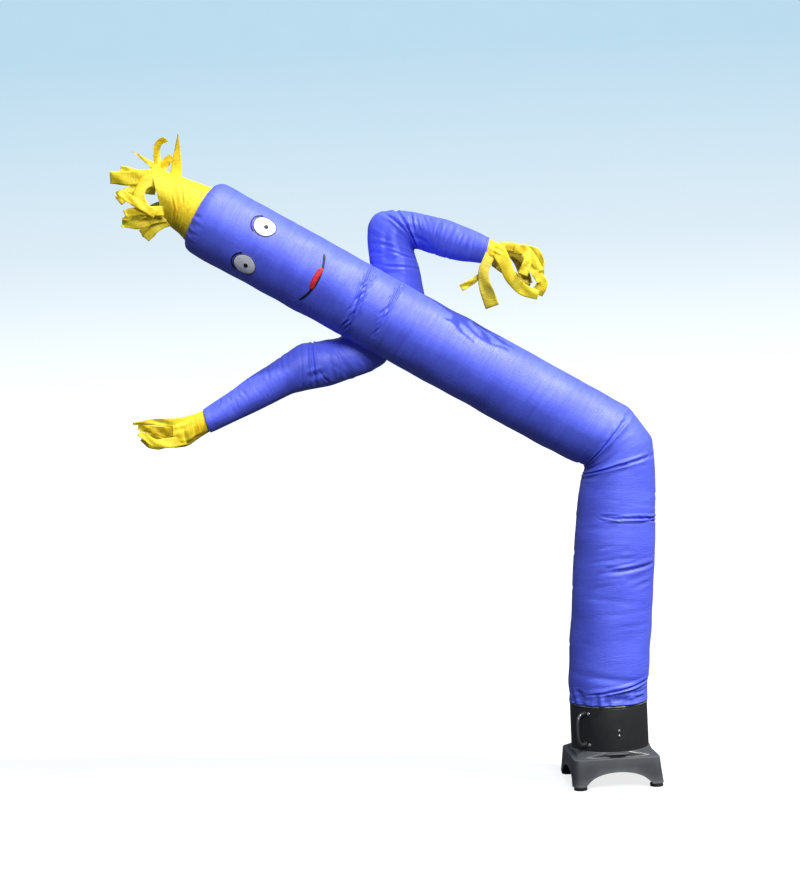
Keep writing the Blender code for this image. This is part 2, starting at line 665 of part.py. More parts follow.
def make_drum(material, rim_material, parent):
    """Make the round housing with its outlet collar, and the rolled rim round its top."""
    foot = DRUM_RADIUS + DRUM_FLARE
    profile = [
        (foot, DRUM_BOTTOM_Z), (DRUM_RADIUS, DRUM_TOP_Z), (COLLAR_RADIUS, DRUM_TOP_Z + 0.002),
        (COLLAR_RADIUS, COLLAR_TOP_Z), (COLLAR_RADIUS - DRUM_WALL, COLLAR_TOP_Z),
        (COLLAR_RADIUS - DRUM_WALL, DRUM_TOP_Z - 0.004), (DRUM_RADIUS - DRUM_WALL, DRUM_TOP_Z - 0.012),
        (foot - DRUM_WALL, DRUM_BOTTOM_Z),
    ]
    turned("drum_housing", profile, ROUND_SIDES, material, parent)
    centre_radius = COLLAR_RADIUS + PIECE_GAP + RIM_RADIUS
    centre_z = DRUM_TOP_Z + 0.002 + PIECE_GAP + RIM_RADIUS
    ring = []
    for step in range(6):
        angle = math.tau * (step + 0.5) / 6
        ring.append((centre_radius + RIM_RADIUS * math.cos(angle), centre_z + RIM_RADIUS * math.sin(angle)))
    turned("rolled_rim", ring, ROUND_SIDES, rim_material, parent)


def make_feet(material, parent):
    """Make four rubber feet under the corners of the base."""
    for name, side_x, side_y in (("foot_front_left", -1, -1), ("foot_front_right", 1, -1),
                                 ("foot_back_right", 1, 1), ("foot_back_left", -1, 1)):
        profile = [(FOOT_RADIUS - 0.002, 0.0), (FOOT_RADIUS, 0.002), (FOOT_RADIUS, FOOT_HEIGHT - PIECE_GAP)]
        foot = solid_turned(name, profile, 16, material, parent)
        foot.location = (side_x * FOOT_OFFSET, side_y * FOOT_OFFSET, 0.0)


def drum_place(angle, radius, height):
    """Return a place on a circle round the blower; angle 0 is the front and grows to the left."""
    return Vector((-radius * math.sin(angle), -radius * math.cos(angle), height))


def drum_reach(height):
    """Return how far out a piece lies that sits on the middle of one flat of the drum."""
    share = (DRUM_TOP_Z - height) / (DRUM_TOP_Z - DRUM_BOTTOM_Z)
    return (DRUM_RADIUS + DRUM_FLARE * share) * math.cos(math.pi / ROUND_SIDES) + PIECE_GAP


def make_grip(material, bolt_material, parent):
    """Make the carrying grip, a bowed round bar, and the bolt head at each of its two ends."""
    reach = drum_reach(GRIP_LOW_Z)
    outline = ((0.0, GRIP_LOW_Z), (0.016, GRIP_LOW_Z - 0.001), (0.034, GRIP_LOW_Z + 0.008),
               (GRIP_STANDOFF, GRIP_LOW_Z + 0.028), (GRIP_STANDOFF, GRIP_HIGH_Z - 0.028),
               (0.034, GRIP_HIGH_Z - 0.008), (0.016, GRIP_HIGH_Z + 0.001), (0.0, GRIP_HIGH_Z))
    track = [drum_place(GRIP_ANGLE, reach + out, height) for out, height in outline]
    shape = bmesh.new()
    side = Vector((math.cos(GRIP_ANGLE), -math.sin(GRIP_ANGLE), 0.0))
    loops = []
    for index, point in enumerate(track):
        before, after = track[max(index - 1, 0)], track[min(index + 1, len(track) - 1)]
        way = (after - before).normalized()
        if index in (0, len(track) - 1):
            way = drum_place(GRIP_ANGLE, 1.0, 0.0) * (1 if index == 0 else -1)
        face = way.cross(side).normalized()
        loops.append([shape.verts.new(point + (side * math.cos(math.tau * step / 10)
                                               + face * math.sin(math.tau * step / 10)) * GRIP_RADIUS)
                      for step in range(10)])
    for low, high in zip(loops, loops[1:]):
        for index in range(10):
            following = (index + 1) % 10
            shape.faces.new((low[index], low[following], high[following], high[index]))
    shape.faces.new(loops[0])
    shape.faces.new(loops[-1])
    finish_mesh("carry_grip", shape, material, parent)
    for name, height in (("grip_bolt_low", GRIP_LOW_Z), ("grip_bolt_high", GRIP_HIGH_Z)):
        small_head(name, BOLT_ANGLE, height, 0.0055, 0.004, bolt_material, parent)


def small_head(name, angle, height, radius, thickness, material, parent):
    """Make a round bolt or screw head that sits on the drum."""
    profile = [(radius, 0.0), (radius, thickness * 0.6), (radius * 0.7, thickness)]
    head = solid_turned(name, profile, 12, material, parent)
    head.location = drum_place(angle, drum_reach(height - radius), height)
    head.rotation_euler = (math.pi / 2, 0.0, -angle)


def make_inner_works(metal, plastic, parent):
    """Make the motor, its bracket, the fan and the guard over the intake, all plain."""
    radius, low, high = MOTOR_RADIUS, MOTOR_Z[0], MOTOR_Z[1]
    shaft_end = FAN_Z + FAN_HUB_HALF + PIECE_GAP
    profile = [(SHAFT_RADIUS, shaft_end), (SHAFT_RADIUS, low), (radius - 0.006, low), (radius, low + 0.006),
               (radius, high - 0.010), (radius - 0.012, high)]
    solid_turned("motor", profile, 24, metal, parent)
    make_bracket(metal, parent)
    make_fan(plastic, parent)
    make_guard(metal, parent)


def add_bar(shape, start, end, width, height):
    """Add a closed straight bar between two points at one level."""
    way = (end - start).normalized()
    side = Vector((-way.y, way.x, 0.0)) * width / 2
    rise = Vector((0.0, 0.0, height / 2))
    first = [shape.verts.new(start + side * a + rise * b) for a, b in ((-1, -1), (1, -1), (1, 1), (-1, 1))]
    last = [shape.verts.new(end + side * a + rise * b) for a, b in ((-1, -1), (1, -1), (1, 1), (-1, 1))]
    shape.faces.new(first)
    shape.faces.new(last)
    for index in range(4):
        following = (index + 1) % 4
        shape.faces.new((first[index], first[following], last[following], last[index]))


def union_all(name, pieces):
    """Join pieces into the first by Boolean unions and leave one object."""
    first = pieces[0]
    first.name = name
    for piece in pieces[1:]:
        join = first.modifiers.new("join_" + piece.name, "BOOLEAN")
        join.operation = "UNION"
        join.solver = "EXACT"
        join.object = piece
        piece.hide_render = True
        piece.display_type = "WIRE"
    return first


def make_bracket(material, parent):
    """Make the motor's clamp ring with three arms that reach the drum's wall."""
    inner = MOTOR_RADIUS + PIECE_GAP
    level = (MOTOR_Z[0] + MOTOR_Z[1]) / 2
    half = BRACKET_HALF_HEIGHT
    outer = inner + BRACKET_WALL
    ring_profile = [(outer, level - half), (outer, level + half), (inner, level + half), (inner, level - half)]
    pieces = [turned("motor_bracket", ring_profile, 24, material, parent)]
    for index in range(3):
        shape = bmesh.new()
        angle = math.tau * index / 3 + BRACKET_ANGLE
        start = drum_place(angle, inner + BRACKET_WALL / 2, level)
        wall = (DRUM_RADIUS - DRUM_WALL) * math.cos(math.pi / ROUND_SIDES)
        end = drum_place(angle, wall - PIECE_GAP, level)
        add_bar(shape, start, end, BRACKET_WALL, BRACKET_ARM_HEIGHT)
        pieces.append(finish_mesh(f"bracket_arm_{index}", shape, material, parent))
    union_all("motor_bracket", pieces)


def make_fan(material, parent):
    """Make the fan: a hub under the motor with slanted blades."""
    hub = solid_turned("fan", [(0.034, FAN_Z - 0.014), (0.038, FAN_Z - 0.008), (0.038, FAN_Z + FAN_HUB_HALF)],
                       20, material, parent)
    pieces = [hub]
    for index in range(FAN_BLADES):
        shape = bmesh.new()
        angle = math.tau * index / FAN_BLADES
        loops = []
        for radius, width, pitch in ((0.034, 0.034, 0.60), (0.085, 0.050, 0.42), (FAN_RADIUS, 0.062, 0.30)):
            centre = drum_place(angle, radius, FAN_Z)
            tangent = Vector((-math.cos(angle), math.sin(angle), 0.0))
            along = tangent * math.cos(pitch) + Vector((0.0, 0.0, math.sin(pitch)))
            lift = Vector((0.0, 0.0, 0.0020))
            loops.append([shape.verts.new(centre + along * a * width / 2 + lift * b)
                          for a, b in ((-1, -1), (1, -1), (1, 1), (-1, 1))])
        for low, high in zip(loops, loops[1:]):
            join_flat_loops(shape, low, high)
        shape.faces.new(loops[0])
        shape.faces.new(loops[-1])
        pieces.append(finish_mesh(f"fan_blade_{index}", shape, material, parent))
    union_all("fan", pieces)


def make_guard(material, parent):
    """Make the intake guard: rings joined by crossed bars, held in the drum's foot."""
    wire = GUARD_WIRE
    rim = (DRUM_RADIUS + DRUM_FLARE - DRUM_WALL) * math.cos(math.pi / ROUND_SIDES) - PIECE_GAP
    pieces = []
    for index, radius in enumerate((rim, *GUARD_RINGS)):
        profile = [(radius, GUARD_Z - wire / 2), (radius, GUARD_Z + wire / 2),
                   (radius - wire, GUARD_Z + wire / 2), (radius - wire, GUARD_Z - wire / 2)]
        pieces.append(turned(f"guard_ring_{index}", profile, 16 if index else 24, material, parent))
    for index in range(3):
        shape = bmesh.new()
        angle = math.pi * index / 3 + 0.2
        level = GUARD_Z + wire / 10
        add_bar(shape, drum_place(angle, rim - wire / 2, level),
                drum_place(angle + math.pi, rim - wire / 2, level), wire, wire * 0.7)
        pieces.append(finish_mesh(f"guard_bar_{index}", shape, material, parent))
    union_all("intake_guard", pieces)


def make_inlet(material, parent):
    """Make the bush in the drum's wall where the mains lead would enter."""
    bore = INLET_RADIUS - 0.0065
    profile = [(INLET_RADIUS, 0.0), (INLET_RADIUS, INLET_LENGTH - 0.003),
               (INLET_RADIUS - 0.0025, INLET_LENGTH), (bore, INLET_LENGTH), (bore, 0.0)]
    bush = turned("lead_inlet", profile, 16, material, parent)
    bush.location = drum_place(INLET_ANGLE, drum_reach(INLET_Z - INLET_RADIUS), INLET_Z)
    bush.rotation_euler = (math.pi / 2, 0.0, -INLET_ANGLE)


def make_body(material, armholes):
    """Make the body tube with a hole under each sleeve."""
    loft = body_loft()
    rings = [loft.ring(place, BODY_SIDES) for place in loft.stations(0.0, loft.length)]
    body = open_tube("body_tube", rings, material)
    for name, sleeve, reach in armholes:
        places = [reach[0] + (reach[1] - reach[0]) * step / 3 for step in range(4)]
        cut(body, closed_plug(name, [sleeve.ring(place, SLEEVE_SIDES, -ARMHOLE_INSET) for place in places]))
    return loft, body


def make_sleeve(name, loft, end, material, body_shape):
    """Make one sleeve, trimmed to the body tube's outside."""
    rings = [loft.ring(place, SLEEVE_SIDES) for place in loft.stations(0.0, end)]
    sleeve = open_tube(name, rings, material)
    cut(sleeve, body_shape)
    return sleeve


def make_cuff(name, loft, start, end, sides, offset, material):
    """Make a short yellow tube set inside the end of a blue one."""
    places = sorted({*loft.stations(start, end - BAND_LENGTH), end})
    rings = [loft.ring(place, sides, offset) for place in places]
    return open_tube(name, rings, material)


def main():
    """Build every piece."""
    clear_scene()
    make_stand()
    blue = make_material("blue_cloth", (0.030, 0.050, 0.600), 0.42, 0.0, 0.3)
    yellow = make_material("yellow_cloth", (0.950, 0.760, 0.020), 0.50, 0.0, 0.3)
    black = make_material("black_moulding", (0.012, 0.013, 0.014), 0.42)
    rim = make_material("rim_plastic", (0.060, 0.062, 0.066), 0.30)
    rubber = make_material("foot_rubber", (0.010, 0.010, 0.010), 0.85)
    steel = make_material("bright_steel", (0.560, 0.570, 0.580), 0.28, 1.0)
    dark_steel = make_material("motor_steel", (0.150, 0.155, 0.160), 0.45, 1.0)

    raised = Loft(RAISED_SECTIONS + RAISED_CUFF, RAISED_FOLDS, SLEEVE_RING_STEP)
    lowered = Loft(LOWERED_SECTIONS + LOWERED_CUFF, LOWERED_FOLDS, SLEEVE_RING_STEP)
    raised_wrist = raised.distances[len(RAISED_SECTIONS) - 1]
    lowered_wrist = lowered.distances[len(LOWERED_SECTIONS) - 1]

    armholes = (("raised_armhole", raised, ARMHOLE_REACH), ("lowered_armhole", lowered, ARMHOLE_REACH))
    body, body_object = make_body(blue, armholes)
    outside = closed_plug("body_outside", [body.ring(place, BODY_SIDES, PIECE_GAP)
                                           for place in body.stations(0.0, body.length)])
    make_sleeve("raised_sleeve", raised, raised_wrist, blue, outside)
    make_sleeve("lowered_sleeve", lowered, lowered_wrist, blue, outside)

    inset = -(CLOTH + PIECE_GAP)
    for name, loft, wrist, rows in (("raised", raised, raised_wrist, RAISED_STRIPS),
                                    ("lowered", lowered, lowered_wrist, LOWERED_STRIPS)):
        make_cuff(f"{name}_cuff", loft, wrist - CUFF_OVERLAP, loft.length, SLEEVE_SIDES, inset, yellow)
        streamers(f"{name}_streamers", loft, loft.length - BAND_LENGTH, loft.length + BAND_PROUD,
                  SLEEVE_SIDES, 0.0, rows, yellow)
    hair = hair_loft()
    make_cuff("hair_tube", hair, 0.0, hair.length, HAIR_SIDES, 0.0, yellow)
    streamers("hair_streamers", hair, hair.length - BAND_LENGTH, hair.length + BAND_PROUD, HAIR_SIDES,
              -inset, HAIR_STRIPS, yellow)

    frame = blower_frame()
    make_base(black, frame)
    make_drum(black, rim, frame)
    make_feet(rubber, frame)
    make_grip(black, steel, frame)
    for index, height in enumerate(SCREW_Z):
        small_head(f"drum_screw_{index + 1}", SCREW_ANGLE, height, 0.0042, 0.003, steel, frame)
    make_inner_works(dark_steel, black, frame)
    make_inlet(rubber, frame)


main()
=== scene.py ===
"""Inflatable air dancer: the looks of a bent nylon tube with two arms and streamers on its round blower.

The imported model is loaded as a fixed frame. The cloth is lofted again with its folds, hems and wrinkles,
the streamers are cut as ribbons, and the blower's mouldings are modelled with their round edges. Sizes
count from the blower's axis, in metres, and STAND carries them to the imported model's place.
"""

import logging
import math
import random
from dataclasses import dataclass, field
from enum import Enum
from typing import Callable, ClassVar, NamedTuple, Sequence

import bmesh
import bpy
import numpy as np
from mathutils import Matrix, Vector


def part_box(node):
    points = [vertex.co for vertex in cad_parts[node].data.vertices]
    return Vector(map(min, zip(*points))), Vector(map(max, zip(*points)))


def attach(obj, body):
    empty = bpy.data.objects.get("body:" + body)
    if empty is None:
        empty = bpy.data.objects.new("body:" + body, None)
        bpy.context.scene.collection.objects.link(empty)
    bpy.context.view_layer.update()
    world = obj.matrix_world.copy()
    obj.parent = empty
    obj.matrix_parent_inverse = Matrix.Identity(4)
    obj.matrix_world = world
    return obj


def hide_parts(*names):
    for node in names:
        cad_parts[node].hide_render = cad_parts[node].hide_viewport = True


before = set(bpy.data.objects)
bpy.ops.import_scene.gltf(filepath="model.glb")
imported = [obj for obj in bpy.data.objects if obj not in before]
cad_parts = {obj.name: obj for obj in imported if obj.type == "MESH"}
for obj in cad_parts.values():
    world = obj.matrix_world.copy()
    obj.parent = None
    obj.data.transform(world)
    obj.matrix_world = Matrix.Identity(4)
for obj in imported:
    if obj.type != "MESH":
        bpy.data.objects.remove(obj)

LOG = logging.getLogger("air_dancer")
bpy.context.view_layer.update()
BODY_NAME = "root"

DRUM_LOW, DRUM_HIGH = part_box("drum_housing")
STAND = Vector(((DRUM_LOW[0] + DRUM_HIGH[0]) / 2, (DRUM_LOW[1] + DRUM_HIGH[1]) / 2, 0.0))
BLOWER_TURN = math.radians(3.5)
BLOWER_PLACE = Matrix.Translation(STAND) @ Matrix.Rotation(BLOWER_TURN, 4, "Z")

Colour = tuple[float, float, float]
Point = tuple[float, float, float]
Range = tuple[float, float]
Piece = bpy.types.Object
Socket = bpy.types.NodeSocket


class Held(Enum):
    HUNG = "hung"
    STRETCHED = "stretched"


class TipCut(Enum):
    """How a streamer ends."""

    STRAIGHT = "straight"
    POINTED = "pointed"
    ROLLED = "rolled"


# The finishes


class Weaver:
    """Small helper that adds and links the nodes of one material."""

    def __init__(self, name: str) -> None:
        """Start a named material with a plain Principled shader."""
        self.material = bpy.data.materials.new(name)
        self.material.use_nodes = True
        self.tree = self.material.node_tree
        self.shader = self.tree.nodes["Principled BSDF"]

    def add(self, kind: str, **values: object) -> bpy.types.Node:
        """Add one node of a kind and set its properties."""
        node = self.tree.nodes.new(kind)
        for key, value in values.items():
            setattr(node, key, value)
        return node

    def place(self) -> Socket:
        """Return the place on the piece."""
        return self.add("ShaderNodeTexCoord").outputs["Object"]

    def join(self, source: Socket, target: Socket) -> None:
        """Link one socket to another."""
        self.tree.links.new(source, target)

    def feed(self, target: Socket, value: object) -> None:
        """Give a socket a number, a colour or a link."""
        if isinstance(value, Socket):
            self.join(value, target)
        else:
            target.default_value = value

    def maths(self, operation: str, first: object, second: object = 0.0, third: object = 0.0,
              clamp: bool = False) -> Socket:
        """Add a Math node.

        Args:
            operation: the node's operation.
            first: first value or socket.
            second: second value or socket.
            third: third value or socket.
            clamp: whether the result is kept between 0 and 1.

        Returns:
            The result's socket.
        """
        node = self.add("ShaderNodeMath", operation=operation, use_clamp=clamp)
        for index, value in enumerate((first, second, third)):
            self.feed(node.inputs[index], value)
        return node.outputs[0]

    def blend(self, share: object, first: object, second: object) -> Socket:
        """Mix two colours.

        Args:
            share: share of the second colour.
            first: first colour or socket.
            second: second colour or socket.

        Returns:
            The mixed colour's socket.
        """
        node = self.add("ShaderNodeMix", data_type="RGBA")
        self.feed(node.inputs[0], share)
        self.feed(node.inputs[6], first)
        self.feed(node.inputs[7], second)
        return node.outputs[2]

    def spread(self, value: object, low: float, high: float, to_low: float, to_high: float) -> Socket:
        """Stretch a range of values to another range.

        Args:
            value: the socket to stretch.
            low: lower end of its range.
            high: upper end of its range.
            to_low: value given at the lower end.
            to_high: value given at the upper end.

        Returns:
            The result's socket.
        """
        node = self.add("ShaderNodeMapRange")
        self.feed(node.inputs[0], value)
        for index, number in enumerate((low, high, to_low, to_high), start=1):
            node.inputs[index].default_value = number
        return node.outputs[0]

    def stretched(self, source: Socket, scale: Point, turn: float = 0.0) -> Socket:
        """Scale and turn a coordinate.

        Args:
            source: the coordinate's socket.
            scale: scale along each axis.
            turn: turn about Z, in radians.

        Returns:
            The mapped coordinate's socket.
        """
        node = self.add("ShaderNodeMapping")
        self.join(source, node.inputs["Vector"])
        node.inputs["Scale"].default_value = scale
        node.inputs["Rotation"].default_value = (0.0, 0.0, turn)
        return node.outputs[0]

    def noise(self, source: Socket, scale: float, detail: float = 3.0,
              roughness: float = 0.5, distortion: float = 0.0) -> Socket:
        """Add a noise.

        Args:
            source: the coordinate's socket.
            scale: features a metre.
            detail: layers of finer noise.
            roughness: weight of the finer layers.
            distortion: how much the noise is bent.

        Returns:
            The noise's value, 0 to 1.
        """
        node = self.add("ShaderNodeTexNoise")
        self.join(source, node.inputs["Vector"])
        node.inputs["Scale"].default_value = scale
        node.inputs["Detail"].default_value = detail
        node.inputs["Roughness"].default_value = roughness
        node.inputs["Distortion"].default_value = distortion
        return node.outputs[0]

    def bump(self, height: Socket, distance: float, strength: float = 1.0,
             below: Socket | None = None) -> Socket:
        """Add a bump.

        Args:
            height: the height's socket.
            distance: depth in metres of a height of 1.
            strength: share of the bump that shows.
            below: the normal of another bump, if any.

        Returns:
            The normal's socket.
        """
        node = self.add("ShaderNodeBump")
        node.inputs["Strength"].default_value = strength
        node.inputs["Distance"].default_value = distance
        self.join(height, node.inputs["Height"])
        if below is not None:
            self.join(below, node.inputs["Normal"])
        return node.outputs[0]

    def set(self, **values: object) -> None:
        """Set sockets of the shader, an underscore standing for a space."""
        for key, value in values.items():
            self.feed(self.shader.inputs[key.replace("_", " ")], value)


def rgba(colour: Colour) -> tuple[float, float, float, float]:
    """Return a colour with full cover."""
    return (*colour, 1.0)


@dataclass(frozen=True)
class Finish:
    """A finish with a name and a main colour; each kind weaves its own nodes."""

    name: str
    colour: Colour

    def build(self) -> bpy.types.Material:
        """Make the material.

        Returns:
            The finished material.
        """
        nodes = Weaver(self.name)
        self.weave(nodes)
        nodes.material.diffuse_color = rgba(self.colour)
        return nodes.material

    def weave(self, nodes: Weaver) -> None:
        """Set up the nodes; a plain finish has its colour alone."""
        nodes.set(Base_Color=rgba(self.colour))


@dataclass(frozen=True)
class NylonCloth(Finish):
    """Thin coated nylon: ripstop weave, crushed wrinkles, a stitched hem and a soft sheen."""

    # the painted shade colour, mixed into the cloth's colour by noise
    shade: Colour
    stitch: Colour
    roughness: float = 0.4
    sheen: float = 0.35
    specular: float = 0.5
    soft_light: float = 0.0
    crush: float = 1.0
    thread_step: float = 0.0012
    rip_step: float = 0.006
    hem_stitch: float = 0.011
    stitch_length: float = 0.0045

    def weave(self, nodes: Weaver) -> None:
        """Set up the finish.

        Args:
            nodes: the material's nodes.
        """
        flat = nodes.add("ShaderNodeUVMap", uv_map="cloth_metres").outputs[0]
        colour, mask = self.paint_shade(nodes, flat)
        wear = nodes.noise(flat, 9.0, 4.0, 0.6)
        nodes.set(Base_Color=colour, Roughness=nodes.spread(wear, 0.3, 0.7, self.roughness - 0.05,
                                                           self.roughness + 0.07),
                  Sheen_Weight=self.sheen, Sheen_Roughness=0.35, Sheen_Tint=rgba((0.8, 0.84, 1.0)),
                  Specular_IOR_Level=self.specular, Normal=self.relief(nodes, flat, mask))
        if self.soft_light:
            nodes.set(Subsurface_Weight=self.soft_light, Subsurface_Radius=(1.0, 0.7, 0.2),
                      Subsurface_Scale=0.006)

    def paint_shade(self, nodes: Weaver, flat: Socket) -> tuple:
        """Mix the cloth's colour with a painted shade colour in noise patches and crease-like streaks, and add
        its stitches.

        Args:
            nodes: the material's nodes.
            flat: the coordinate on the flat cloth.

        Returns:
            The colour's socket and the stitches' mask.
        """
        # Painted shade: broad noise and stretched crease-like streaks mix the shade colour into the cloth
        # colour.
        broad = nodes.noise(flat, 3.2, 3.0, 0.55)
        crumple = nodes.noise(nodes.stretched(flat, (7.0, 34.0, 1.0)), 1.0, 5.0, 0.6, 0.6)
        painted_shade_share = nodes.spread(nodes.maths("ADD", broad, crumple), 0.7, 1.3, 0.0, 1.0)
        shaded_cloth = nodes.blend(painted_shade_share, rgba(self.shade), rgba(self.colour))
        near_hem = nodes.add("ShaderNodeAttribute", attribute_name="from_hem").outputs["Fac"]
        split = nodes.add("ShaderNodeSeparateXYZ")
        nodes.join(flat, split.inputs[0])
        dash = nodes.maths("FRACT", nodes.maths("DIVIDE", split.outputs[0], self.stitch_length))
        on_dash = nodes.maths("LESS_THAN", dash, 0.68)
        on_line = nodes.maths("COMPARE", near_hem, self.hem_stitch, 0.0006)
        mask = nodes.maths("MULTIPLY", on_dash, on_line)
        return nodes.blend(mask, shaded_cloth, rgba(self.stitch)), mask

    def relief(self, nodes: Weaver, flat: Socket, mask: Socket) -> Socket:
        """Raise the weave, the ripstop threads, the crushed wrinkles and the stitches.

        Args:
            nodes: the material's nodes.
            flat: the coordinate on the flat cloth.
            mask: the stitches' mask.

        Returns:
            The normal's socket.
        """
        wave_scale = math.pi / 10.0
        threads = []
        for direction in ("X", "Y"):
            for step in (self.thread_step, self.rip_step):
                wave = nodes.add("ShaderNodeTexWave", bands_direction=direction)
                nodes.join(flat, wave.inputs["Vector"])
                wave.inputs["Scale"].default_value = wave_scale / step
                threads.append(wave.outputs["Fac"])
        weave = nodes.maths("MAXIMUM", threads[0], threads[2])
        ripstop = nodes.maths("POWER", nodes.maths("MAXIMUM", threads[1], threads[3]), 12.0)
        fabric = nodes.maths("ADD", nodes.maths("MULTIPLY", weave, 0.35), ripstop)
        around = nodes.noise(nodes.stretched(flat, (11.0, 75.0, 1.0)), 1.0, 6.0, 0.62, 0.9)
        across = nodes.noise(nodes.stretched(flat, (46.0, 13.0, 1.0), 0.35), 1.0, 5.0, 0.6, 0.7)
        creased = nodes.maths("ABSOLUTE", nodes.maths("SUBTRACT", around, 0.5))
        crushed = nodes.maths("ADD", nodes.maths("MULTIPLY", creased, -1.6),
                              nodes.maths("MULTIPLY", across, 0.5))
        first = nodes.bump(crushed, 0.0034 * self.crush, 0.9)
        second = nodes.bump(fabric, 0.00007, 0.7, first)
        return nodes.bump(mask, 0.0004, 0.8, second)


@dataclass(frozen=True)
class MouldedPlastic(Finish):
    """Grained black moulding with scuffs, dust and paler worn edges."""

    worn: Colour
    roughness: float
    grain: float = 0.00016
    wear: float = 0.5
    specular: float = 0.5

    def weave(self, nodes: Weaver) -> None:
        """Set up the finish.

        Args:
            nodes: the material's nodes.
        """
        place = nodes.place()
        edge = nodes.add("ShaderNodeNewGeometry").outputs["Pointiness"]
        dust = nodes.noise(place, 14.0, 6.0, 0.65, 0.4)
        fine = nodes.noise(place, 620.0, 2.0, 0.5)
        worn_edge = nodes.spread(edge, 0.512, 0.575, 0.0, self.wear)
        scuff = nodes.spread(nodes.noise(nodes.stretched(place, (160.0, 160.0, 18.0)), 1.0, 4.0, 0.7),
                             0.6, 0.78, 0.0, self.wear * 0.5)
        rubbed = nodes.maths("ADD", worn_edge, nodes.maths("MULTIPLY", scuff, dust), clamp=True)
        speckle = nodes.spread(fine, 0.6, 0.74, 0.0, 0.16)
        colour = nodes.blend(nodes.maths("ADD", rubbed, speckle, clamp=True), rgba(self.colour),
                             rgba(self.worn))
        roughness = nodes.spread(dust, 0.3, 0.7, self.roughness - 0.06, self.roughness + 0.1)
        pebble = nodes.add("ShaderNodeTexVoronoi", feature="SMOOTH_F1")
        nodes.join(place, pebble.inputs["Vector"])
        pebble.inputs["Scale"].default_value = 480.0
        soft = nodes.bump(nodes.noise(place, 26.0, 2.0), 0.0008, 0.35)
        grain = nodes.bump(nodes.maths("ADD", pebble.outputs[0], fine), self.grain, 0.75, soft)
        nodes.set(Base_Color=colour, Roughness=roughness, Specular_IOR_Level=self.specular, Normal=grain)


@dataclass(frozen=True)
class PlatedSteel(Finish):
    """Steel with fine brushing, finger marks and a little rust in its corners."""

    rust: Colour
    roughness: float
    rusting: float = 0.25

    def weave(self, nodes: Weaver) -> None:
        """Set up the finish.

        Args:
            nodes: the material's nodes.
        """
        place = nodes.place()
        brushed = nodes.noise(nodes.stretched(place, (900.0, 900.0, 60.0)), 1.0, 3.0, 0.6)
        stain = nodes.noise(place, 60.0, 6.0, 0.7, 0.5)
        rusty = nodes.spread(stain, 0.56, 0.7, 0.0, self.rusting)
        nodes.set(Base_Color=nodes.blend(rusty, rgba(self.colour), rgba(self.rust)),
                  Metallic=nodes.spread(rusty, 0.0, 1.0, 1.0, 0.3),
                  Roughness=nodes.spread(nodes.maths("ADD", brushed, stain), 0.7, 1.3,
                                         self.roughness - 0.06, self.roughness + 0.12),
                  Normal=nodes.bump(brushed, 0.00012, 0.5))


@dataclass(frozen=True)
class Rubber(Finish):
    """Dull rubber with a fine bloom of dust."""

    dust: Colour
    roughness: float = 0.82

    def weave(self, nodes: Weaver) -> None:
        """Set up the finish.

        Args:
            nodes: the material's nodes.
        """
        place = nodes.place()
        bloom = nodes.noise(place, 40.0, 6.0, 0.7)
        fine = nodes.noise(place, 420.0, 3.0, 0.6)
        nodes.set(Base_Color=nodes.blend(nodes.spread(bloom, 0.45, 0.75, 0.0, 0.6), rgba(self.colour),
                                         rgba(self.dust)),
                  Roughness=nodes.spread(bloom, 0.3, 0.7, self.roughness - 0.08, self.roughness + 0.08),
                  Specular_IOR_Level=0.3, Normal=nodes.bump(fine, 0.0003, 0.7))


@dataclass(frozen=True)
class StudioPaper(Finish):
    """The pale floor and backdrop, bright of itself and a little bluer higher up."""

    high: Colour
    glow: float = 0.8
    fade_start: float = 0.9
    fade_end: float = 4.9

    def weave(self, nodes: Weaver) -> None:
        """Set up the finish.

        Args:
            nodes: the material's nodes.
        """
        place = nodes.place()
        split = nodes.add("ShaderNodeSeparateXYZ")
        nodes.join(place, split.inputs[0])
        rise = nodes.spread(split.outputs[2], self.fade_start, self.fade_end, 0.0, 1.0)
        fibre = nodes.spread(nodes.noise(place, 3.0, 4.0, 0.6), 0.3, 0.7, 0.0, 0.03)
        faded = nodes.blend(rise, rgba(self.colour), rgba(self.high))
        paper = nodes.blend(fibre, faded, rgba((0.8, 0.84, 0.9)))
        nodes.set(Base_Color=rgba((0.3, 0.31, 0.32)), Roughness=0.9, Specular_IOR_Level=0.1,
                  Emission_Color=paper, Emission_Strength=self.glow)


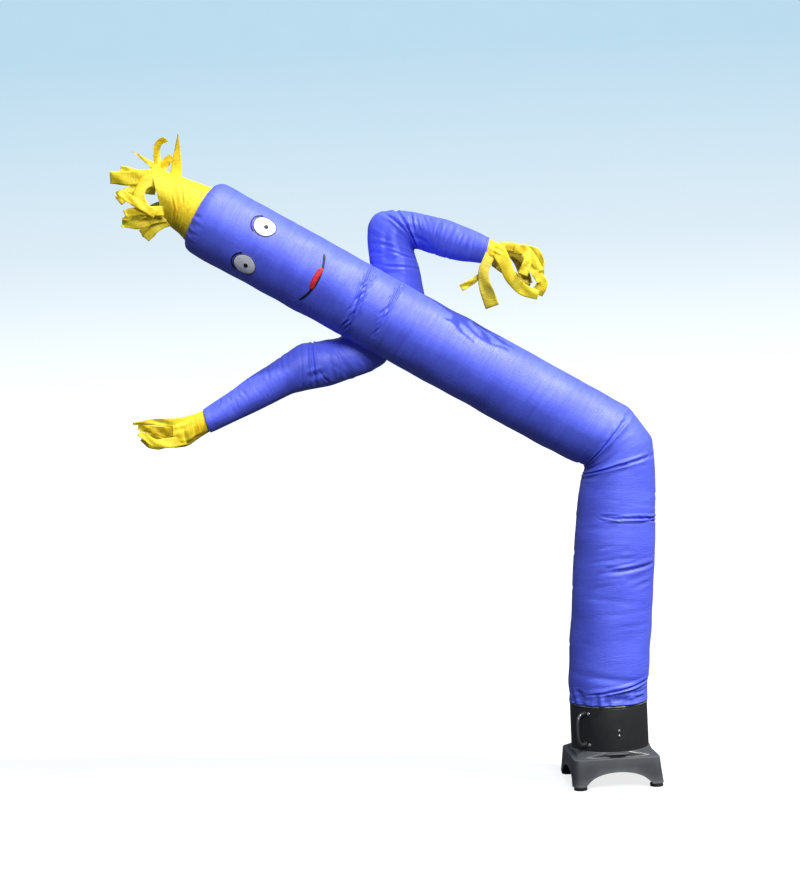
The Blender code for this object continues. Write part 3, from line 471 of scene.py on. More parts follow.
class Palette:
    """Every finish of the scene, each made once."""

    FINISHES = (
        # For each cloth: its colour, a painted shade colour mixed in by noise, and its stitch colour.
        NylonCloth("blue_nylon", (0.12, 0.165, 0.95), (0.085, 0.112, 0.8), (0.036, 0.044, 0.42),
                   roughness=0.5, sheen=0.08, specular=0.62, crush=0.5),
        NylonCloth("yellow_nylon", (1.0, 0.86, 0.045), (0.98, 0.6, 0.01), (0.9, 0.48, 0.01),
                   roughness=0.5, sheen=0.0, specular=0.35, soft_light=0.3, crush=1.0),
        # Painted shade: a duller, darker copy of the yellow for the streamers' back faces; the real streamer
        # is one yellow on both sides.
        NylonCloth("yellow_shaded_back", (0.8, 0.62, 0.03), (0.52, 0.42, 0.05), (0.3, 0.24, 0.04),
                   roughness=0.6, sheen=0.0, specular=0.3, crush=1.0),
        NylonCloth("white_print", (0.86, 0.88, 0.92), (0.74, 0.78, 0.88), (0.6, 0.6, 0.7),
                   roughness=0.52, sheen=0.1, specular=0.35, crush=0.7),
        NylonCloth("black_print", (0.01, 0.01, 0.016), (0.006, 0.006, 0.01), (0.02, 0.02, 0.03),
                   roughness=0.5, sheen=0.1, specular=0.35, crush=0.7),
        NylonCloth("red_print", (0.72, 0.02, 0.03), (0.5, 0.012, 0.02), (0.4, 0.02, 0.02),
                   roughness=0.5, sheen=0.1, specular=0.35, crush=0.7),
        MouldedPlastic("black_plastic", (0.011, 0.012, 0.013), (0.085, 0.088, 0.092), 0.4),
        # Painted reflection: the base's black moulding is given a grey colour, lighter than the drum, to stand
        # for its sheen.
        MouldedPlastic("base_plastic_painted_sheen", (0.06, 0.063, 0.068), (0.2, 0.204, 0.21), 0.36, grain=0.00022),
        MouldedPlastic("satin_bar", (0.014, 0.014, 0.015), (0.2, 0.2, 0.2), 0.24, grain=0.00006,
                       specular=0.8),
        MouldedPlastic("worn_rim", (0.06, 0.062, 0.066), (0.3, 0.3, 0.305), 0.34, wear=0.9),
        PlatedSteel("plated_steel", (0.86, 0.87, 0.88), (0.2, 0.09, 0.04), 0.36),
        PlatedSteel("dark_steel", (0.16, 0.16, 0.17), (0.1, 0.05, 0.03), 0.46, rusting=0.5),
        Rubber("black_rubber", (0.012, 0.012, 0.012), (0.06, 0.058, 0.054)),
        StudioPaper("pale_paper", (1.0, 1.0, 1.0), (0.38, 0.64, 0.81)),
    )

    def __init__(self) -> None:
        """Make every material."""
        self.made = {finish.name: finish.build() for finish in self.FINISHES}

    def __getitem__(self, name: str) -> bpy.types.Material:
        """Return a finish by its name."""
        return self.made[name]

    def put_on(self, item: Piece, finish: str) -> None:
        """Give a piece one finish in place of what it has."""
        item.data.materials.clear()
        item.data.materials.append(self.made[finish])
        LOG.info("%s: %d faces, %s", item.name, len(item.data.polygons), finish)


PALETTE = Palette()


# The bench


class Bench:
    """Blender's own modelling tools, used on one piece at a time."""

    @staticmethod
    def clear() -> None:
        """Leave edit mode and deselect everything."""
        if bpy.context.object is not None and bpy.context.object.mode != "OBJECT":
            bpy.ops.object.mode_set(mode="OBJECT")
        bpy.ops.object.select_all(action="DESELECT")

    @staticmethod
    def hold(item: Piece) -> None:
        """Select one object alone and make it active."""
        Bench.clear()
        item.select_set(True)
        bpy.context.view_layer.objects.active = item

    @staticmethod
    def link(title: str, data: bpy.types.ID) -> Piece:
        """Make an object of a mesh, a light or a camera and link it."""
        item = bpy.data.objects.new(title, data)
        bpy.context.collection.objects.link(item)
        return item

    @staticmethod
    def cylinder(title: str, sides: int, radius: float, low: float, high: float) -> Piece:
        """Add a closed cylinder that stands on the Z axis.

        Args:
            title: its name.
            sides: how many sides it has.
            radius: its radius.
            low: height of its lower end.
            high: height of its upper end.

        Returns:
            The cylinder.
        """
        Bench.clear()
        bpy.ops.mesh.primitive_cylinder_add(vertices=sides, radius=radius, depth=high - low,
                                            location=(0.0, 0.0, (high + low) / 2))
        bpy.ops.object.transform_apply(location=True, rotation=False, scale=False)
        return Bench.name(bpy.context.object, title)

    @staticmethod
    def edit(item: Piece) -> None:
        """Open a piece in edit mode with all of it selected."""
        Bench.hold(item)
        bpy.ops.object.mode_set(mode="EDIT")
        bpy.ops.mesh.select_mode(type="FACE")
        bpy.ops.mesh.select_all(action="SELECT")

    @staticmethod
    def pick(item: Piece, mode: str, test: Callable[[object], bool]) -> None:
        """Select the parts of a piece that pass a test.

        Args:
            item: the piece, in edit mode.
            mode: VERT, EDGE or FACE.
            test: the test of one vertex, edge or face.
        """
        bpy.ops.mesh.select_mode(type=mode)
        bpy.ops.mesh.select_all(action="DESELECT")
        shape = bmesh.from_edit_mesh(item.data)
        for part in {"VERT": shape.verts, "EDGE": shape.edges, "FACE": shape.faces}[mode]:
            if test(part):
                part.select_set(True)
        bmesh.update_edit_mesh(item.data)

    @staticmethod
    def draw_out(height: float) -> None:
        """Extrude what is selected along Z."""
        bpy.ops.mesh.extrude_region_move(TRANSFORM_OT_translate={"value": (0.0, 0.0, height)})

    @staticmethod
    def resize(x: float, y: float, z: float = 1.0, level: float = 0.0) -> None:
        """Scale what is selected about the Z axis at a level."""
        bpy.ops.transform.resize(value=(x, y, z), center_override=(0.0, 0.0, level))

    @staticmethod
    def round_edges(item: Piece, width: float, segments: int, sharp: float) -> None:
        """Round a piece's edges.

        Args:
            item: the piece.
            width: width of the rounding.
            segments: how many faces it has across.
            sharp: angle above which an edge is rounded, in degrees.
        """
        Bench.apply(item, "BEVEL", width=width, segments=segments, limit_method="ANGLE",
                    angle_limit=math.radians(sharp))

    @staticmethod
    def close(item: Piece) -> None:
        """Go back to object mode."""
        bpy.context.view_layer.objects.active = item
        bpy.ops.object.mode_set(mode="OBJECT")

    @staticmethod
    def apply(item: Piece, kind: str, **values: object) -> None:
        """Add one modifier and apply it.

        Args:
            item: the piece.
            kind: the modifier's type.
            **values: its settings.
        """
        Bench.hold(item)
        modifier = item.modifiers.new(kind.lower(), kind)
        for key, value in values.items():
            setattr(modifier, key, value)
        bpy.ops.object.modifier_apply(modifier=modifier.name)

    @staticmethod
    def carve(item: Piece, cutter: Piece) -> None:
        """Cut one shape out of another and remove the cutter."""
        Bench.apply(item, "BOOLEAN", operation="DIFFERENCE", solver="EXACT", object=cutter)
        bpy.data.objects.remove(cutter, do_unlink=True)

    @staticmethod
    def settle(item: Piece, place: Matrix, sharp: float = 32.0) -> None:
        """Put a piece's place in its mesh, face it outwards and shade it.

        Args:
            item: the piece.
            place: where it goes.
            sharp: angle above which an edge stays sharp, in degrees.
        """
        item.data.transform(place @ item.matrix_basis)
        item.matrix_basis = Matrix.Identity(4)
        Bench.edit(item)
        bpy.ops.mesh.remove_doubles(threshold=0.00002)
        bpy.ops.mesh.normals_make_consistent(inside=False)
        Bench.close(item)
        Bench.hold(item)
        bpy.ops.object.shade_smooth_by_angle(angle=math.radians(sharp))

    @staticmethod
    def name(item: Piece, title: str) -> Piece:
        """Name a piece and its mesh."""
        item.name = title
        item.data.name = title
        return item

    @staticmethod
    def copy(item: Piece, title: str) -> Piece:
        """Copy a piece with a mesh of its own."""
        return Bench.name(Bench.link(title, item.data.copy()), title)

    @staticmethod
    def hand_over(item: Piece, finish: str, slot: str, nodes: Sequence[str] = ()) -> Piece:
        """Args:
            item: the piece.
            finish: its finish.
            slot: not used.
            nodes: the CAD nodes that it stands for.

        Returns:
            The piece.
        """
        PALETTE.put_on(item, finish)
        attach(item, BODY_NAME)
        if nodes:
            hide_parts(*nodes)
        return item


# The cloth


class Section(NamedTuple):
    """A ring of a tube: its low and high points in the XZ plane, its Y and its half depth."""

    low_x: float
    low_z: float
    high_x: float
    high_z: float
    y: float
    half_depth: float


@dataclass(frozen=True)
class Crease:
    """A crease that runs round a tube, as a trough below 0 or a ridge above 0.

    Attributes:
        at: distance along the tube's middle.
        around: its middle, in degrees: 0 on the high side, 90 on the side of the face.
        span: reach to each side, in degrees.
        width: half width along the tube.
        height: depth or height.
        slant: how far its ends lie apart along the tube.
        puff: share of its height that the cloth beside it swells.
    """

    at: float
    around: float
    span: float
    width: float
    height: float
    slant: float = 0.0
    puff: float = 0.3

    def add_to(self, heights: np.ndarray, along: np.ndarray, angles: np.ndarray) -> None:
        """Add the crease to a tube's heights.

        Args:
            heights: rings by sides, changed in place.
            along: each ring's distance.
            angles: each side's angle, in radians.
        """
        reach = math.radians(self.span)
        away = np.angle(np.exp(1j * (angles - math.radians(self.around))))
        inside = np.abs(away) < reach
        if not inside.any():
            return
        fade = np.cos(away[inside] / reach * math.pi / 2) ** 0.8
        off = (along[:, None] - self.at - self.slant * np.sin(away[inside])[None, :]) / self.width
        shape = np.exp(-off ** 2) - self.puff * (np.exp(-(off - 2.0) ** 2) + np.exp(-(off + 2.0) ** 2))
        heights[:, inside] += self.height * fade[None, :] * shape


@dataclass(frozen=True)
class Pleat:
    """A crease that runs along a tube.

    Attributes:
        around: its middle, in degrees.
        start: where it starts along the tube.
        end: where it ends.
        width: half width round the tube, in degrees.
        height: depth or height.
        drift: how far it turns round the tube on its way, in degrees.
    """

    around: float
    start: float
    end: float
    width: float
    height: float
    drift: float = 0.0

    def add_to(self, heights: np.ndarray, along: np.ndarray, angles: np.ndarray) -> None:
        """Add the pleat to a tube's heights.

        Args:
            heights: rings by sides, changed in place.
            along: each ring's distance.
            angles: each side's angle, in radians.
        """
        share = (along - self.start) / (self.end - self.start)
        inside = (share > 0.0) & (share < 1.0)
        if not inside.any():
            return
        rise = np.sin(share[inside] * math.pi) ** 0.7
        middle = np.radians(self.around + self.drift * (share[inside] - 0.5))
        away = np.angle(np.exp(1j * (angles[None, :] - middle[:, None]))) / math.radians(self.width)
        shape = np.exp(-away ** 2) - 0.3 * (np.exp(-(away - 2.0) ** 2) + np.exp(-(away + 2.0) ** 2))
        heights[inside, :] += self.height * rise[:, None] * shape


@dataclass(frozen=True)
class Wrinkles:
    """A patch of many small creases, drawn with a fixed seed.

    Attributes:
        seed: the patch's seed.
        count: how many creases.
        along: range of distances.
        around: range of angles, in degrees.
        span: range of their reach, in degrees.
        width: range of their half widths.
        height: range of their heights.
        slant: range of their slants.
    """

    seed: int
    count: int
    along: Range
    around: Range
    span: Range = (9.0, 24.0)
    width: Range = (0.0045, 0.0085)
    height: Range = (-0.0022, 0.0014)
    slant: Range = (-0.008, 0.008)

    def creases(self) -> list[Crease]:
        """Draw the patch.

        Returns:
            Its creases.
        """
        draw = random.Random(self.seed)
        return [Crease(draw.uniform(*self.along), draw.uniform(*self.around), draw.uniform(*self.span),
                       draw.uniform(*self.width), draw.uniform(*self.height), draw.uniform(*self.slant))
                for _ in range(self.count)]


@dataclass
class ClothTube:
    """A tube of cloth blown up by air, lofted through sections with its folds and turned-in hems.

    Attributes:
        fine: stretches of the tube, from and to, where the rings are closer, and their spacing there.
        calm: length before the far end over which the folds fade out.
        root: a section before the first one, hidden inside the tube that this one is sewn to.
    """

    name: str
    sections: Sequence[Section]
    finish: str
    replaces: tuple[str, ...]
    slot: str
    sides: int
    step: float
    smoothing: float = 0.01
    creases: Sequence[Crease] = ()
    pleats: Sequence[Pleat] = ()
    wrinkles: Sequence[Wrinkles] = ()
    begin: float = 0.0
    finish_at: float | None = None
    offset: float = 0.0
    start_hem: bool = False
    end_hem: bool = True
    unrest: float = 0.0008
    seed: int = 1
    seam: float = 270.0
    features: list = field(default_factory=list)
    fine: Sequence[tuple[float, float, float]] = ()
    calm: float = 0.0
    root: Section | None = None
    distances: np.ndarray = field(default_factory=lambda: np.zeros(1))

    SEAM_LAP = 0.01
    HEM_ROWS = ((0.013, -0.0024), (0.007, -0.0028), (0.0025, -0.0026), (0.0004, -0.0016))

    def __post_init__(self) -> None:
        """Work out the sections' distances and gather all folds."""
        if self.root:
            self.sections = (self.root, *self.sections)
        centres = [((s.low_x + s.high_x) / 2, s.y, (s.low_z + s.high_z) / 2) for s in self.sections]
        steps = [math.dist(first, second) for first, second in zip(centres, centres[1:])]
        self.distances = np.concatenate(([0.0], np.cumsum(steps)))
        if self.root:
            self.distances -= steps[0]
            self.begin = -steps[0]
        if self.finish_at is None:
            self.finish_at = float(self.distances[-1])
        self.features = [*self.creases, *self.pleats]
        for patch in self.wrinkles:
            self.features.extend(patch.creases())
        draw = random.Random(self.seed)
        self.ripples = [(draw.uniform(3.0, 16.0), draw.randint(-5, 5), draw.uniform(0.0, math.tau))
                        for _ in range(14)]

    def profile(self, along: np.ndarray) -> np.ndarray:
        """Blend the sections along the tube.

        Args:
            along: distances.

        Returns:
            One row of the six section values for each distance.
        """
        table = np.array(self.sections, dtype=float)
        room = np.clip(np.minimum(along - self.distances[0], self.distances[-1] - along), 0.0, self.smoothing)
        total = np.zeros((len(along), 6))
        shares = np.linspace(-1.0, 1.0, 9)
        for share in shares:
            place = along + share * room
            total += np.stack([np.interp(place, self.distances, table[:, column]) for column in range(6)], 1)
        return total / len(shares)

    def heights(self, along: np.ndarray, angles: np.ndarray) -> np.ndarray:
        """Work out how far the cloth stands out or in.

        Args:
            along: each ring's distance.
            angles: each side's angle.

        Returns:
            Rings by sides.
        """
        result = np.zeros((len(along), len(angles)))
        for feature in self.features:
            feature.add_to(result, along, angles)
        for often, turns, phase in self.ripples:
            result += self.unrest / 4 * np.sin(often * along[:, None] * math.tau / 1.9
                                               + turns * angles[None, :] + phase)
        if self.calm:
            result *= np.clip((self.finish_at - along) / self.calm, 0.1, 1.0)[:, None]
        return result + self.gathers(along, angles)

    def gathers(self, along: np.ndarray, angles: np.ndarray) -> np.ndarray:
        """Give the drawn-in cloth of a tied end; a plain tube has none."""
        return np.zeros((len(along), len(angles)))

    def surface(self, along: np.ndarray, angles: np.ndarray, offset: float | np.ndarray = 0.0) -> np.ndarray:
        """Place points on the tube.

        Args:
            along: each ring's distance.
            angles: each side's angle.
            offset: distance off the surface, one number or an array that fits rings by sides.

        Returns:
            Rings by sides by three coordinates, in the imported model's place.
        """
        rows = self.profile(along)
        centre = np.stack([(rows[:, 0] + rows[:, 2]) / 2, rows[:, 4], (rows[:, 1] + rows[:, 3]) / 2], 1)
        across = np.stack([rows[:, 2] - centre[:, 0], np.zeros(len(rows)), rows[:, 3] - centre[:, 2]], 1)
        towards = np.stack([np.zeros(len(rows)), -rows[:, 5], np.zeros(len(rows))], 1)
        cosine, sine = np.cos(angles)[None, :, None], np.sin(angles)[None, :, None]
        points = centre[:, None, :] + across[:, None, :] * cosine + towards[:, None, :] * sine
        normal = across[:, None, :] * cosine / (across ** 2).sum(1)[:, None, None]
        normal = normal + towards[:, None, :] * sine / (rows[:, 5] ** 2)[:, None, None]
        normal /= np.linalg.norm(normal, axis=2, keepdims=True)
        push = self.heights(along, angles) + self.offset + np.atleast_2d(offset)
        return points + normal * push[:, :, None] + np.array(STAND)

    def ring_places(self) -> np.ndarray:
        """Space the rings, closer together where the tube is creased.

        Returns:
            Each ring's distance.
        """
        places = [self.begin]
        while places[-1] < self.finish_at:
            places.append(places[-1] + min([self.step] + [step for low, high, step in self.fine
                                                          if low <= places[-1] <= high]))
        share = (self.finish_at - self.begin) / (places[-1] - self.begin)
        return self.begin + (np.array(places) - self.begin) * share

    def girth(self) -> float:
        """Return the tube's mean circumference."""
        rows = self.profile(np.linspace(self.begin, self.finish_at, 40))
        half = np.hypot(rows[:, 2] - rows[:, 0], rows[:, 3] - rows[:, 1]) / 2
        depth = rows[:, 5]
        return float(np.mean(math.pi * (3 * (half + depth) - np.sqrt((3 * half + depth)
                                                                     * (half + 3 * depth)))))

    def build(self, extra: Sequence[Piece] = ()) -> Piece:
        """Args:
            extra: not used.

        Returns:
            The tube's object.
        """
        main = self.ring_places()
        along, offset, flat = list(main), [0.0] * len(main), list(main - self.begin)
        hem = [min(value - self.begin if self.start_hem else 9.0,
                   self.finish_at - value if self.end_hem else 9.0) for value in main]
        if self.start_hem:
            along = [self.begin + back for back, _ in self.HEM_ROWS] + along
            offset = [inward for _, inward in self.HEM_ROWS] + offset
            flat = [-back for back, _ in self.HEM_ROWS] + flat
            hem = [-back for back, _ in self.HEM_ROWS] + hem
        if self.end_hem:
            rows = self.HEM_ROWS[::-1]
            along += [self.finish_at - back for back, _ in rows]
            offset += [inward for _, inward in rows]
            flat += [self.finish_at - self.begin + back for back, _ in rows]
            hem += [-back for back, _ in rows]
        turn = math.tau / self.sides
        angles = math.radians(self.seam) + turn * np.arange(self.sides + 1)
        lap = self.SEAM_LAP / (self.girth() / math.tau)
        angles = np.concatenate((angles, angles[-1] + lap * np.array([0.15, 0.6, 1.0])))
        tuck = np.concatenate((np.zeros(self.sides + 1), [-0.0008, -0.0014, -0.0014]))
        points = self.surface(np.array(along), angles, np.array(offset)[:, None] + tuck[None, :])
        item = self.mesh_of(points, flat, hem, angles - angles[0])
        Bench.hand_over(item, self.finish, self.slot, self.replaces)
        self.girth() + self.SEAM_LAP
        return item

    def mesh_of(self, points: np.ndarray, flat: Sequence[float], hem: Sequence[float],
                turns: np.ndarray) -> Piece:
        """Turn rings of points into a tube closed by a lapped seam, with its flat cloth coordinates.

        Args:
            points: rings by columns by three.
            flat: each ring's place on the flat cloth.
            hem: each ring's distance from the nearest hem.
            turns: each column's angle from the seam.

        Returns:
            The linked object.
        """
        rings, columns = points.shape[:2]
        index = np.arange(rings * columns).reshape(rings, columns)
        faces = np.stack([index[:-1, :-1], index[:-1, 1:], index[1:, 1:], index[1:, :-1]], 2).reshape(-1, 4)
        across, low = np.meshgrid(turns * self.girth() / math.tau, flat)
        places = np.stack([across, low], 2).reshape(-1, 2)
        outward = points[0, 0] - points[0].mean(0)
        if np.cross(points[0, 1] - points[0, 0], points[-1, 0] - points[0, 0]).dot(outward) < 0:
            faces = faces[:, ::-1]
        mesh = bpy.data.meshes.new(self.name)
        mesh.from_pydata(points.reshape(-1, 3).tolist(), [], faces.tolist())
        layer = mesh.uv_layers.new(name="cloth_metres")
        layer.data.foreach_set("uv", places[faces.reshape(-1)].reshape(-1).astype(np.float32))
        near = mesh.attributes.new("from_hem", "FLOAT", "POINT")
        near.data.foreach_set("value", np.repeat(hem, columns).astype(np.float32))
        mesh.shade_smooth()
        return Bench.link(self.name, mesh)


TRUNK_START = (-0.139, 1.425)
TRUNK_SLOPE = math.radians(31.3)
TRUNK_LENGTH = 1.58
TRUNK_RADIUS = 0.1465
HEAD_RADIUS = 0.148
SHOULDER_LENGTH = 0.04
CROWN_HOLE_RADIUS = 0.1165
HEM_Z = 0.31
TIE_Z = 0.334


def trunk_section(distance: float, radius: float) -> Section:
    """Give a section square across the trunk.

    Args:
        distance: distance from the trunk's start.
        radius: the section's radius.

    Returns:
        The section.
    """
    x = TRUNK_START[0] - distance * math.cos(TRUNK_SLOPE)
    z = TRUNK_START[1] + distance * math.sin(TRUNK_SLOPE)
    side_x, side_z = radius * math.sin(TRUNK_SLOPE), radius * math.cos(TRUNK_SLOPE)
    return Section(x - side_x, z - side_z, x + side_x, z + side_z, 0.0, radius)


LEG_SECTIONS = (
    Section(-.1525, HEM_Z, .1525, HEM_Z, 0.0, .1525),
    Section(-.1525, TIE_Z, .1525, TIE_Z, 0.0, .1525),
    Section(-.1525, .375, .1545, .37, 0.0, .153),
    Section(-.13, .63, .181, .622, 0.0, .154),
    Section(-.1045, .931, .2053, .918, 0.0, .1525),
    Section(-.0818, 1.105, .2143, 1.092, 0.0, .15),
    Section(-.062, 1.186, .214, 1.255, 0.0, .149),
    Section(-.053, 1.206, .2107, 1.315, 0.0, .1485),
    Section(-.056, 1.219, .123, 1.435, 0.0, .148),
    Section(-.1, 1.236, .06, 1.472, 0.0, .148),
)
NECK = TRUNK_LENGTH - SHOULDER_LENGTH
TRUNK_SECTIONS = (
    trunk_section(0.0, TRUNK_RADIUS),
    trunk_section(0.45 * TRUNK_LENGTH, TRUNK_RADIUS - 0.001),
    trunk_section(0.7 * TRUNK_LENGTH, TRUNK_RADIUS + 0.001),
    trunk_section(NECK, HEAD_RADIUS),
    trunk_section(NECK + 0.25 * SHOULDER_LENGTH, HEAD_RADIUS - 0.0014),
    trunk_section(NECK + 0.5 * SHOULDER_LENGTH, HEAD_RADIUS - 0.0052),
    trunk_section(NECK + 0.75 * SHOULDER_LENGTH, HEAD_RADIUS - 0.012),
    trunk_section(NECK + 0.92 * SHOULDER_LENGTH, HEAD_RADIUS - 0.021),
    trunk_section(TRUNK_LENGTH, CROWN_HOLE_RADIUS),
)


class BodyTube(ClothTube):
    """The leg, knee, trunk and head in one tube, drawn in on the blower's collar at its hem."""

    TIE_DEPTH = 0.009
    PLEAT_REACH = 0.07
    COLLAR_REACH = 0.066
    DEEPEST = 0.0088

    def heights(self, along: np.ndarray, angles: np.ndarray) -> np.ndarray:
        """Work out the heights and keep the cloth outside the collar.

        Args:
            along: each ring's distance.
            angles: each side's angle.

        Returns:
            Rings by sides.
        """
        result = super().heights(along, angles)
        by_collar = along < self.COLLAR_REACH
        result[by_collar] = np.maximum(result[by_collar], -self.DEEPEST)
        return result

    def gathers(self, along: np.ndarray, angles: np.ndarray) -> np.ndarray:
        """Give the hem's pleats where the tie draws the cloth in on the collar.

        Args:
            along: each ring's distance.
            angles: each side's angle.

        Returns:
            Rings by sides.
        """
        above = np.abs(along - (TIE_Z - HEM_Z))
        fade = np.clip(1.0 - above / self.PLEAT_REACH, 0.0, 1.0)[:, None] ** 2
        wave = np.sin(7.0 * angles + 0.6) + 0.6 * np.sin(11.0 * angles + 2.0)
        broad = np.clip(0.62 - 0.5 * wave / 1.3, 0.0, 1.0)[None, :]
        close = np.clip(1.0 - above / 0.034, 0.0, 1.0)[:, None]
        fine = (0.5 * np.sin(23.0 * angles + 1.1) + 0.5 * np.sin(31.0 * angles + 0.4))[None, :]
        return -self.TIE_DEPTH * fade * broad + 0.0017 * close * fine


BODY_FINE = ((-0.01, 0.11, 0.0034), (0.495, 0.56, 0.0042), (0.56, 0.64, 0.0056), (0.68, 0.735, 0.0034),
             (0.895, 0.93, 0.004), (1.01, 1.045, 0.004), (1.98, 2.02, 0.003), (2.082, 2.142, 0.0028),
             (2.75, 2.84, 0.0036))


def body_tube() -> BodyTube:
    """Describe the body tube with the folds that the photograph shows.

    Returns:
        The tube, not built yet.
    """
    creases = (
        # the hem's turned-up flap and the crumpled cloth under it
        Crease(.063, 70, 66, .003, -.008, -.0285, .4), Crease(.056, 72, 60, .0046, .0056, -.027),
        Crease(.074, 70, 66, .0055, .003, -.0285), Crease(.04, 108, 24, .005, -.003, -.02),
        Crease(.034, 48, 26, .005, .003, .014), Crease(.046, 30, 24, .005, -.0026, -.012),
        Crease(.03, 88, 20, .0045, -.0024, .014), Crease(.095, 80, 95, .012, -.003, .022),
        # the leg's lesser lines, its strong line and its roped ring
        Crease(.3, 62, 44, .006, -.002, -.012), Crease(.35, 74, 48, .006, -.0022, -.01),
        Crease(.402, 110, 34, .007, -.0016, .012), Crease(.52, 60, 44, .006, -.0062, -.024, .5),
        Crease(.537, 66, 34, .0065, .003, -.026), Crease(.701, 62, 60, .0044, .0028, -.006, .4),
        Crease(.7085, 56, 70, .0034, -.0054, .004, .6), Crease(.717, 40, 50, .0044, .0026, .006, .4),
        Crease(.7, 34, 42, .0048, -.004, .02), Crease(.757, 40, 46, .005, -.0036, .016),
        Crease(.668, 120, 50, .006, -.0016, -.01),
        # the knee's two mitre lines
        Crease(.912, 112, 104, .0046, -.007, 0.0, .6), Crease(1.028, 104, 98, .0048, -.0072, 0.0, .6),
        Crease(.921, 80, 60, .0044, .0026, .004), Crease(1.018, 84, 60, .0044, .0026, -.004),
        Crease(.97, 150, 46, .01, .0035, 0.0),
        # the trunk under the arms
        Crease(1.889, 122, 38, .0052, -.0062, .01, .4), Crease(1.925, 118, 34, .006, .002, .012),
        Crease(1.962, 132, 34, .0052, -.004, .004), Crease(1.998, 70, 60, .0034, -.0034, -.006, .9),
        Crease(2.0055, 66, 50, .0034, .0014, -.006, .7), Crease(2.104, 84, 104, .0036, -.0036, -.03, .9),
        Crease(2.1115, 86, 100, .0034, .0016, -.03, .7), Crease(2.119, 90, 92, .0036, -.0032, -.029, .9),
        Crease(1.33, 96, 46, .007, -.0022, .018), Crease(1.372, 108, 36, .007, -.0018, .016),
    )
    pleats = (
        Pleat(114, -.02, .05, 3.2, -.0072), Pleat(107, -.02, .044, 3.2, .004),
        Pleat(97, -.02, .044, 2.8, -.0066), Pleat(88, -.02, .03, 3.0, .003),
        Pleat(72, -.02, .036, 2.8, -.004, -8.0), Pleat(140, -.02, .06, 4.0, -.006, 8.0),
        Pleat(149, -.02, .06, 3.2, .004, 10.0), Pleat(158, -.01, .056, 3.0, -.0056, 8.0),
        Pleat(52, 0.0, .05, 3.6, -.0032), Pleat(24, -.01, .056, 5.0, -.0036, -8.0),
        *(Pleat(98 + 5.6 * index + 1.5 * math.sin(7.0 * index), 2.778 - .012 * (index % 3), 2.826, 2.2,
          (-.0034, .0014, -.0026)[index % 3], 3.0) for index in range(15)),
        Pleat(60, 2.768, 2.826, 3.0, -.0018), Pleat(30, 2.768, 2.826, 3.0, -.002),
        Pleat(205, 2.752, 2.826, 4.6, -.004), Pleat(250, 2.758, 2.826, 4.6, -.004),
        Pleat(300, 2.752, 2.826, 4.6, -.004), Pleat(335, 2.762, 2.826, 4.0, -.003),
    )
    patches = (
        Wrinkles(11, 26, (.008, .06), (10, 170), (7, 18), (.004, .007), (-.0026, .0022), (-.014, .014)),
        Wrinkles(12, 26, (.455, .615), (24, 120), (12, 30), (.0045, .008), (-.0036, .0026), (-.034, -.01)),
        Wrinkles(13, 60, (.1, .9), (-30, 210), (8, 20), (.0045, .0075), (-.0011, .0007)),
        Wrinkles(14, 10, (.76, .815), (2, 56), (10, 26), (.004, .006), (-.003, .001)),
        Wrinkles(15, 26, (.87, 1.09), (140, 215), (12, 30), (.005, .008), (-.0048, .0036)),
        Wrinkles(16, 16, (.9, 1.04), (30, 130), (10, 24), (.005, .008), (-.0018, .0012)),
        Wrinkles(17, 110, (1.1, 2.2), (5, 175), (8, 20), (.0045, .0075), (-.0011, .0007)),
        Wrinkles(22, 84, (2.096, 2.128), (24, 160), (5, 11), (.0028, .0042), (-.0074, .004), (.022, .052)),
        Wrinkles(23, 44, (1.988, 2.014), (22, 132), (5, 11), (.0028, .0042), (-.0068, .0036), (.022, .05)),
        Wrinkles(24, 30, (.7, .72), (14, 122), (5, 10), (.003, .0042), (-.0044, .004), (.012, .03)),
        Wrinkles(25, 26, (.902, .924), (10, 170), (5, 11), (.0032, .0046), (-.0044, .0026), (-.028, .02)),
        Wrinkles(26, 30, (1.014, 1.044), (10, 170), (5, 12), (.0032, .0048), (-.005, .003), (-.036, .02)),
        Wrinkles(18, 26, (2.28, 2.72), (20, 165), (8, 18), (.0045, .008), (-.001, .0008)),
        Wrinkles(19, 16, (1.88, 2.12), (14, 46), (7, 16), (.0045, .0065), (-.0036, .0022), (-.012, .004)),
        Wrinkles(20, 90, (.1, 2.7), (185, 355), (10, 30), (.005, .009), (-.003, .002)),
        Wrinkles(21, 14, (2.1, 2.3), (120, 175), (10, 24), (.0045, .008), (-.0036, .002)),
    )
    return BodyTube("body_cloth", LEG_SECTIONS + TRUNK_SECTIONS, "blue_nylon", ("body_tube",), "blue_cloth",
                    sides=160, step=0.0085, smoothing=0.009, creases=creases, pleats=pleats, fine=BODY_FINE,
                    wrinkles=patches, start_hem=True, unrest=0.0012, seed=4)


RAISED_ROOT = Section(-0.655, 1.795, -0.8, 1.84, 0.045, 0.058)
LOWERED_ROOT = Section(-0.764, 1.767, -0.897, 1.833, 0.045, 0.055)
RAISED_SECTIONS = (
    Section(-.625, 1.83, -.835, 1.895, .078, .072),
    Section(-.64, 1.915, -.842, 1.965, .08, .078),
    Section(-.653, 1.999, -.846, 2.033, .08, .086),
    Section(-.669, 2.056, -.852, 2.122, .075, .088),
    Section(-.673, 2.073, -.848, 2.186, .07, .088),
    Section(-.673, 2.081, -.818, 2.229, .066, .086),
    Section(-.667, 2.083, -.758, 2.237, .06, .084),
    Section(-.648, 2.078, -.682, 2.228, .05, .08),
    Section(-.576, 2.042, -.538, 2.181, -.02, .072),
    Section(-.494, 2.015, -.459, 2.138, -.068, .062),
    Section(-.416, 2.0, -.389, 2.095, -.11, .05),
)
RAISED_CUFF = (
    Section(-.385, 1.988, -.351, 2.076, -.128, .046),
    Section(-.368, 1.978, -.334, 2.066, -.134, .044),
)
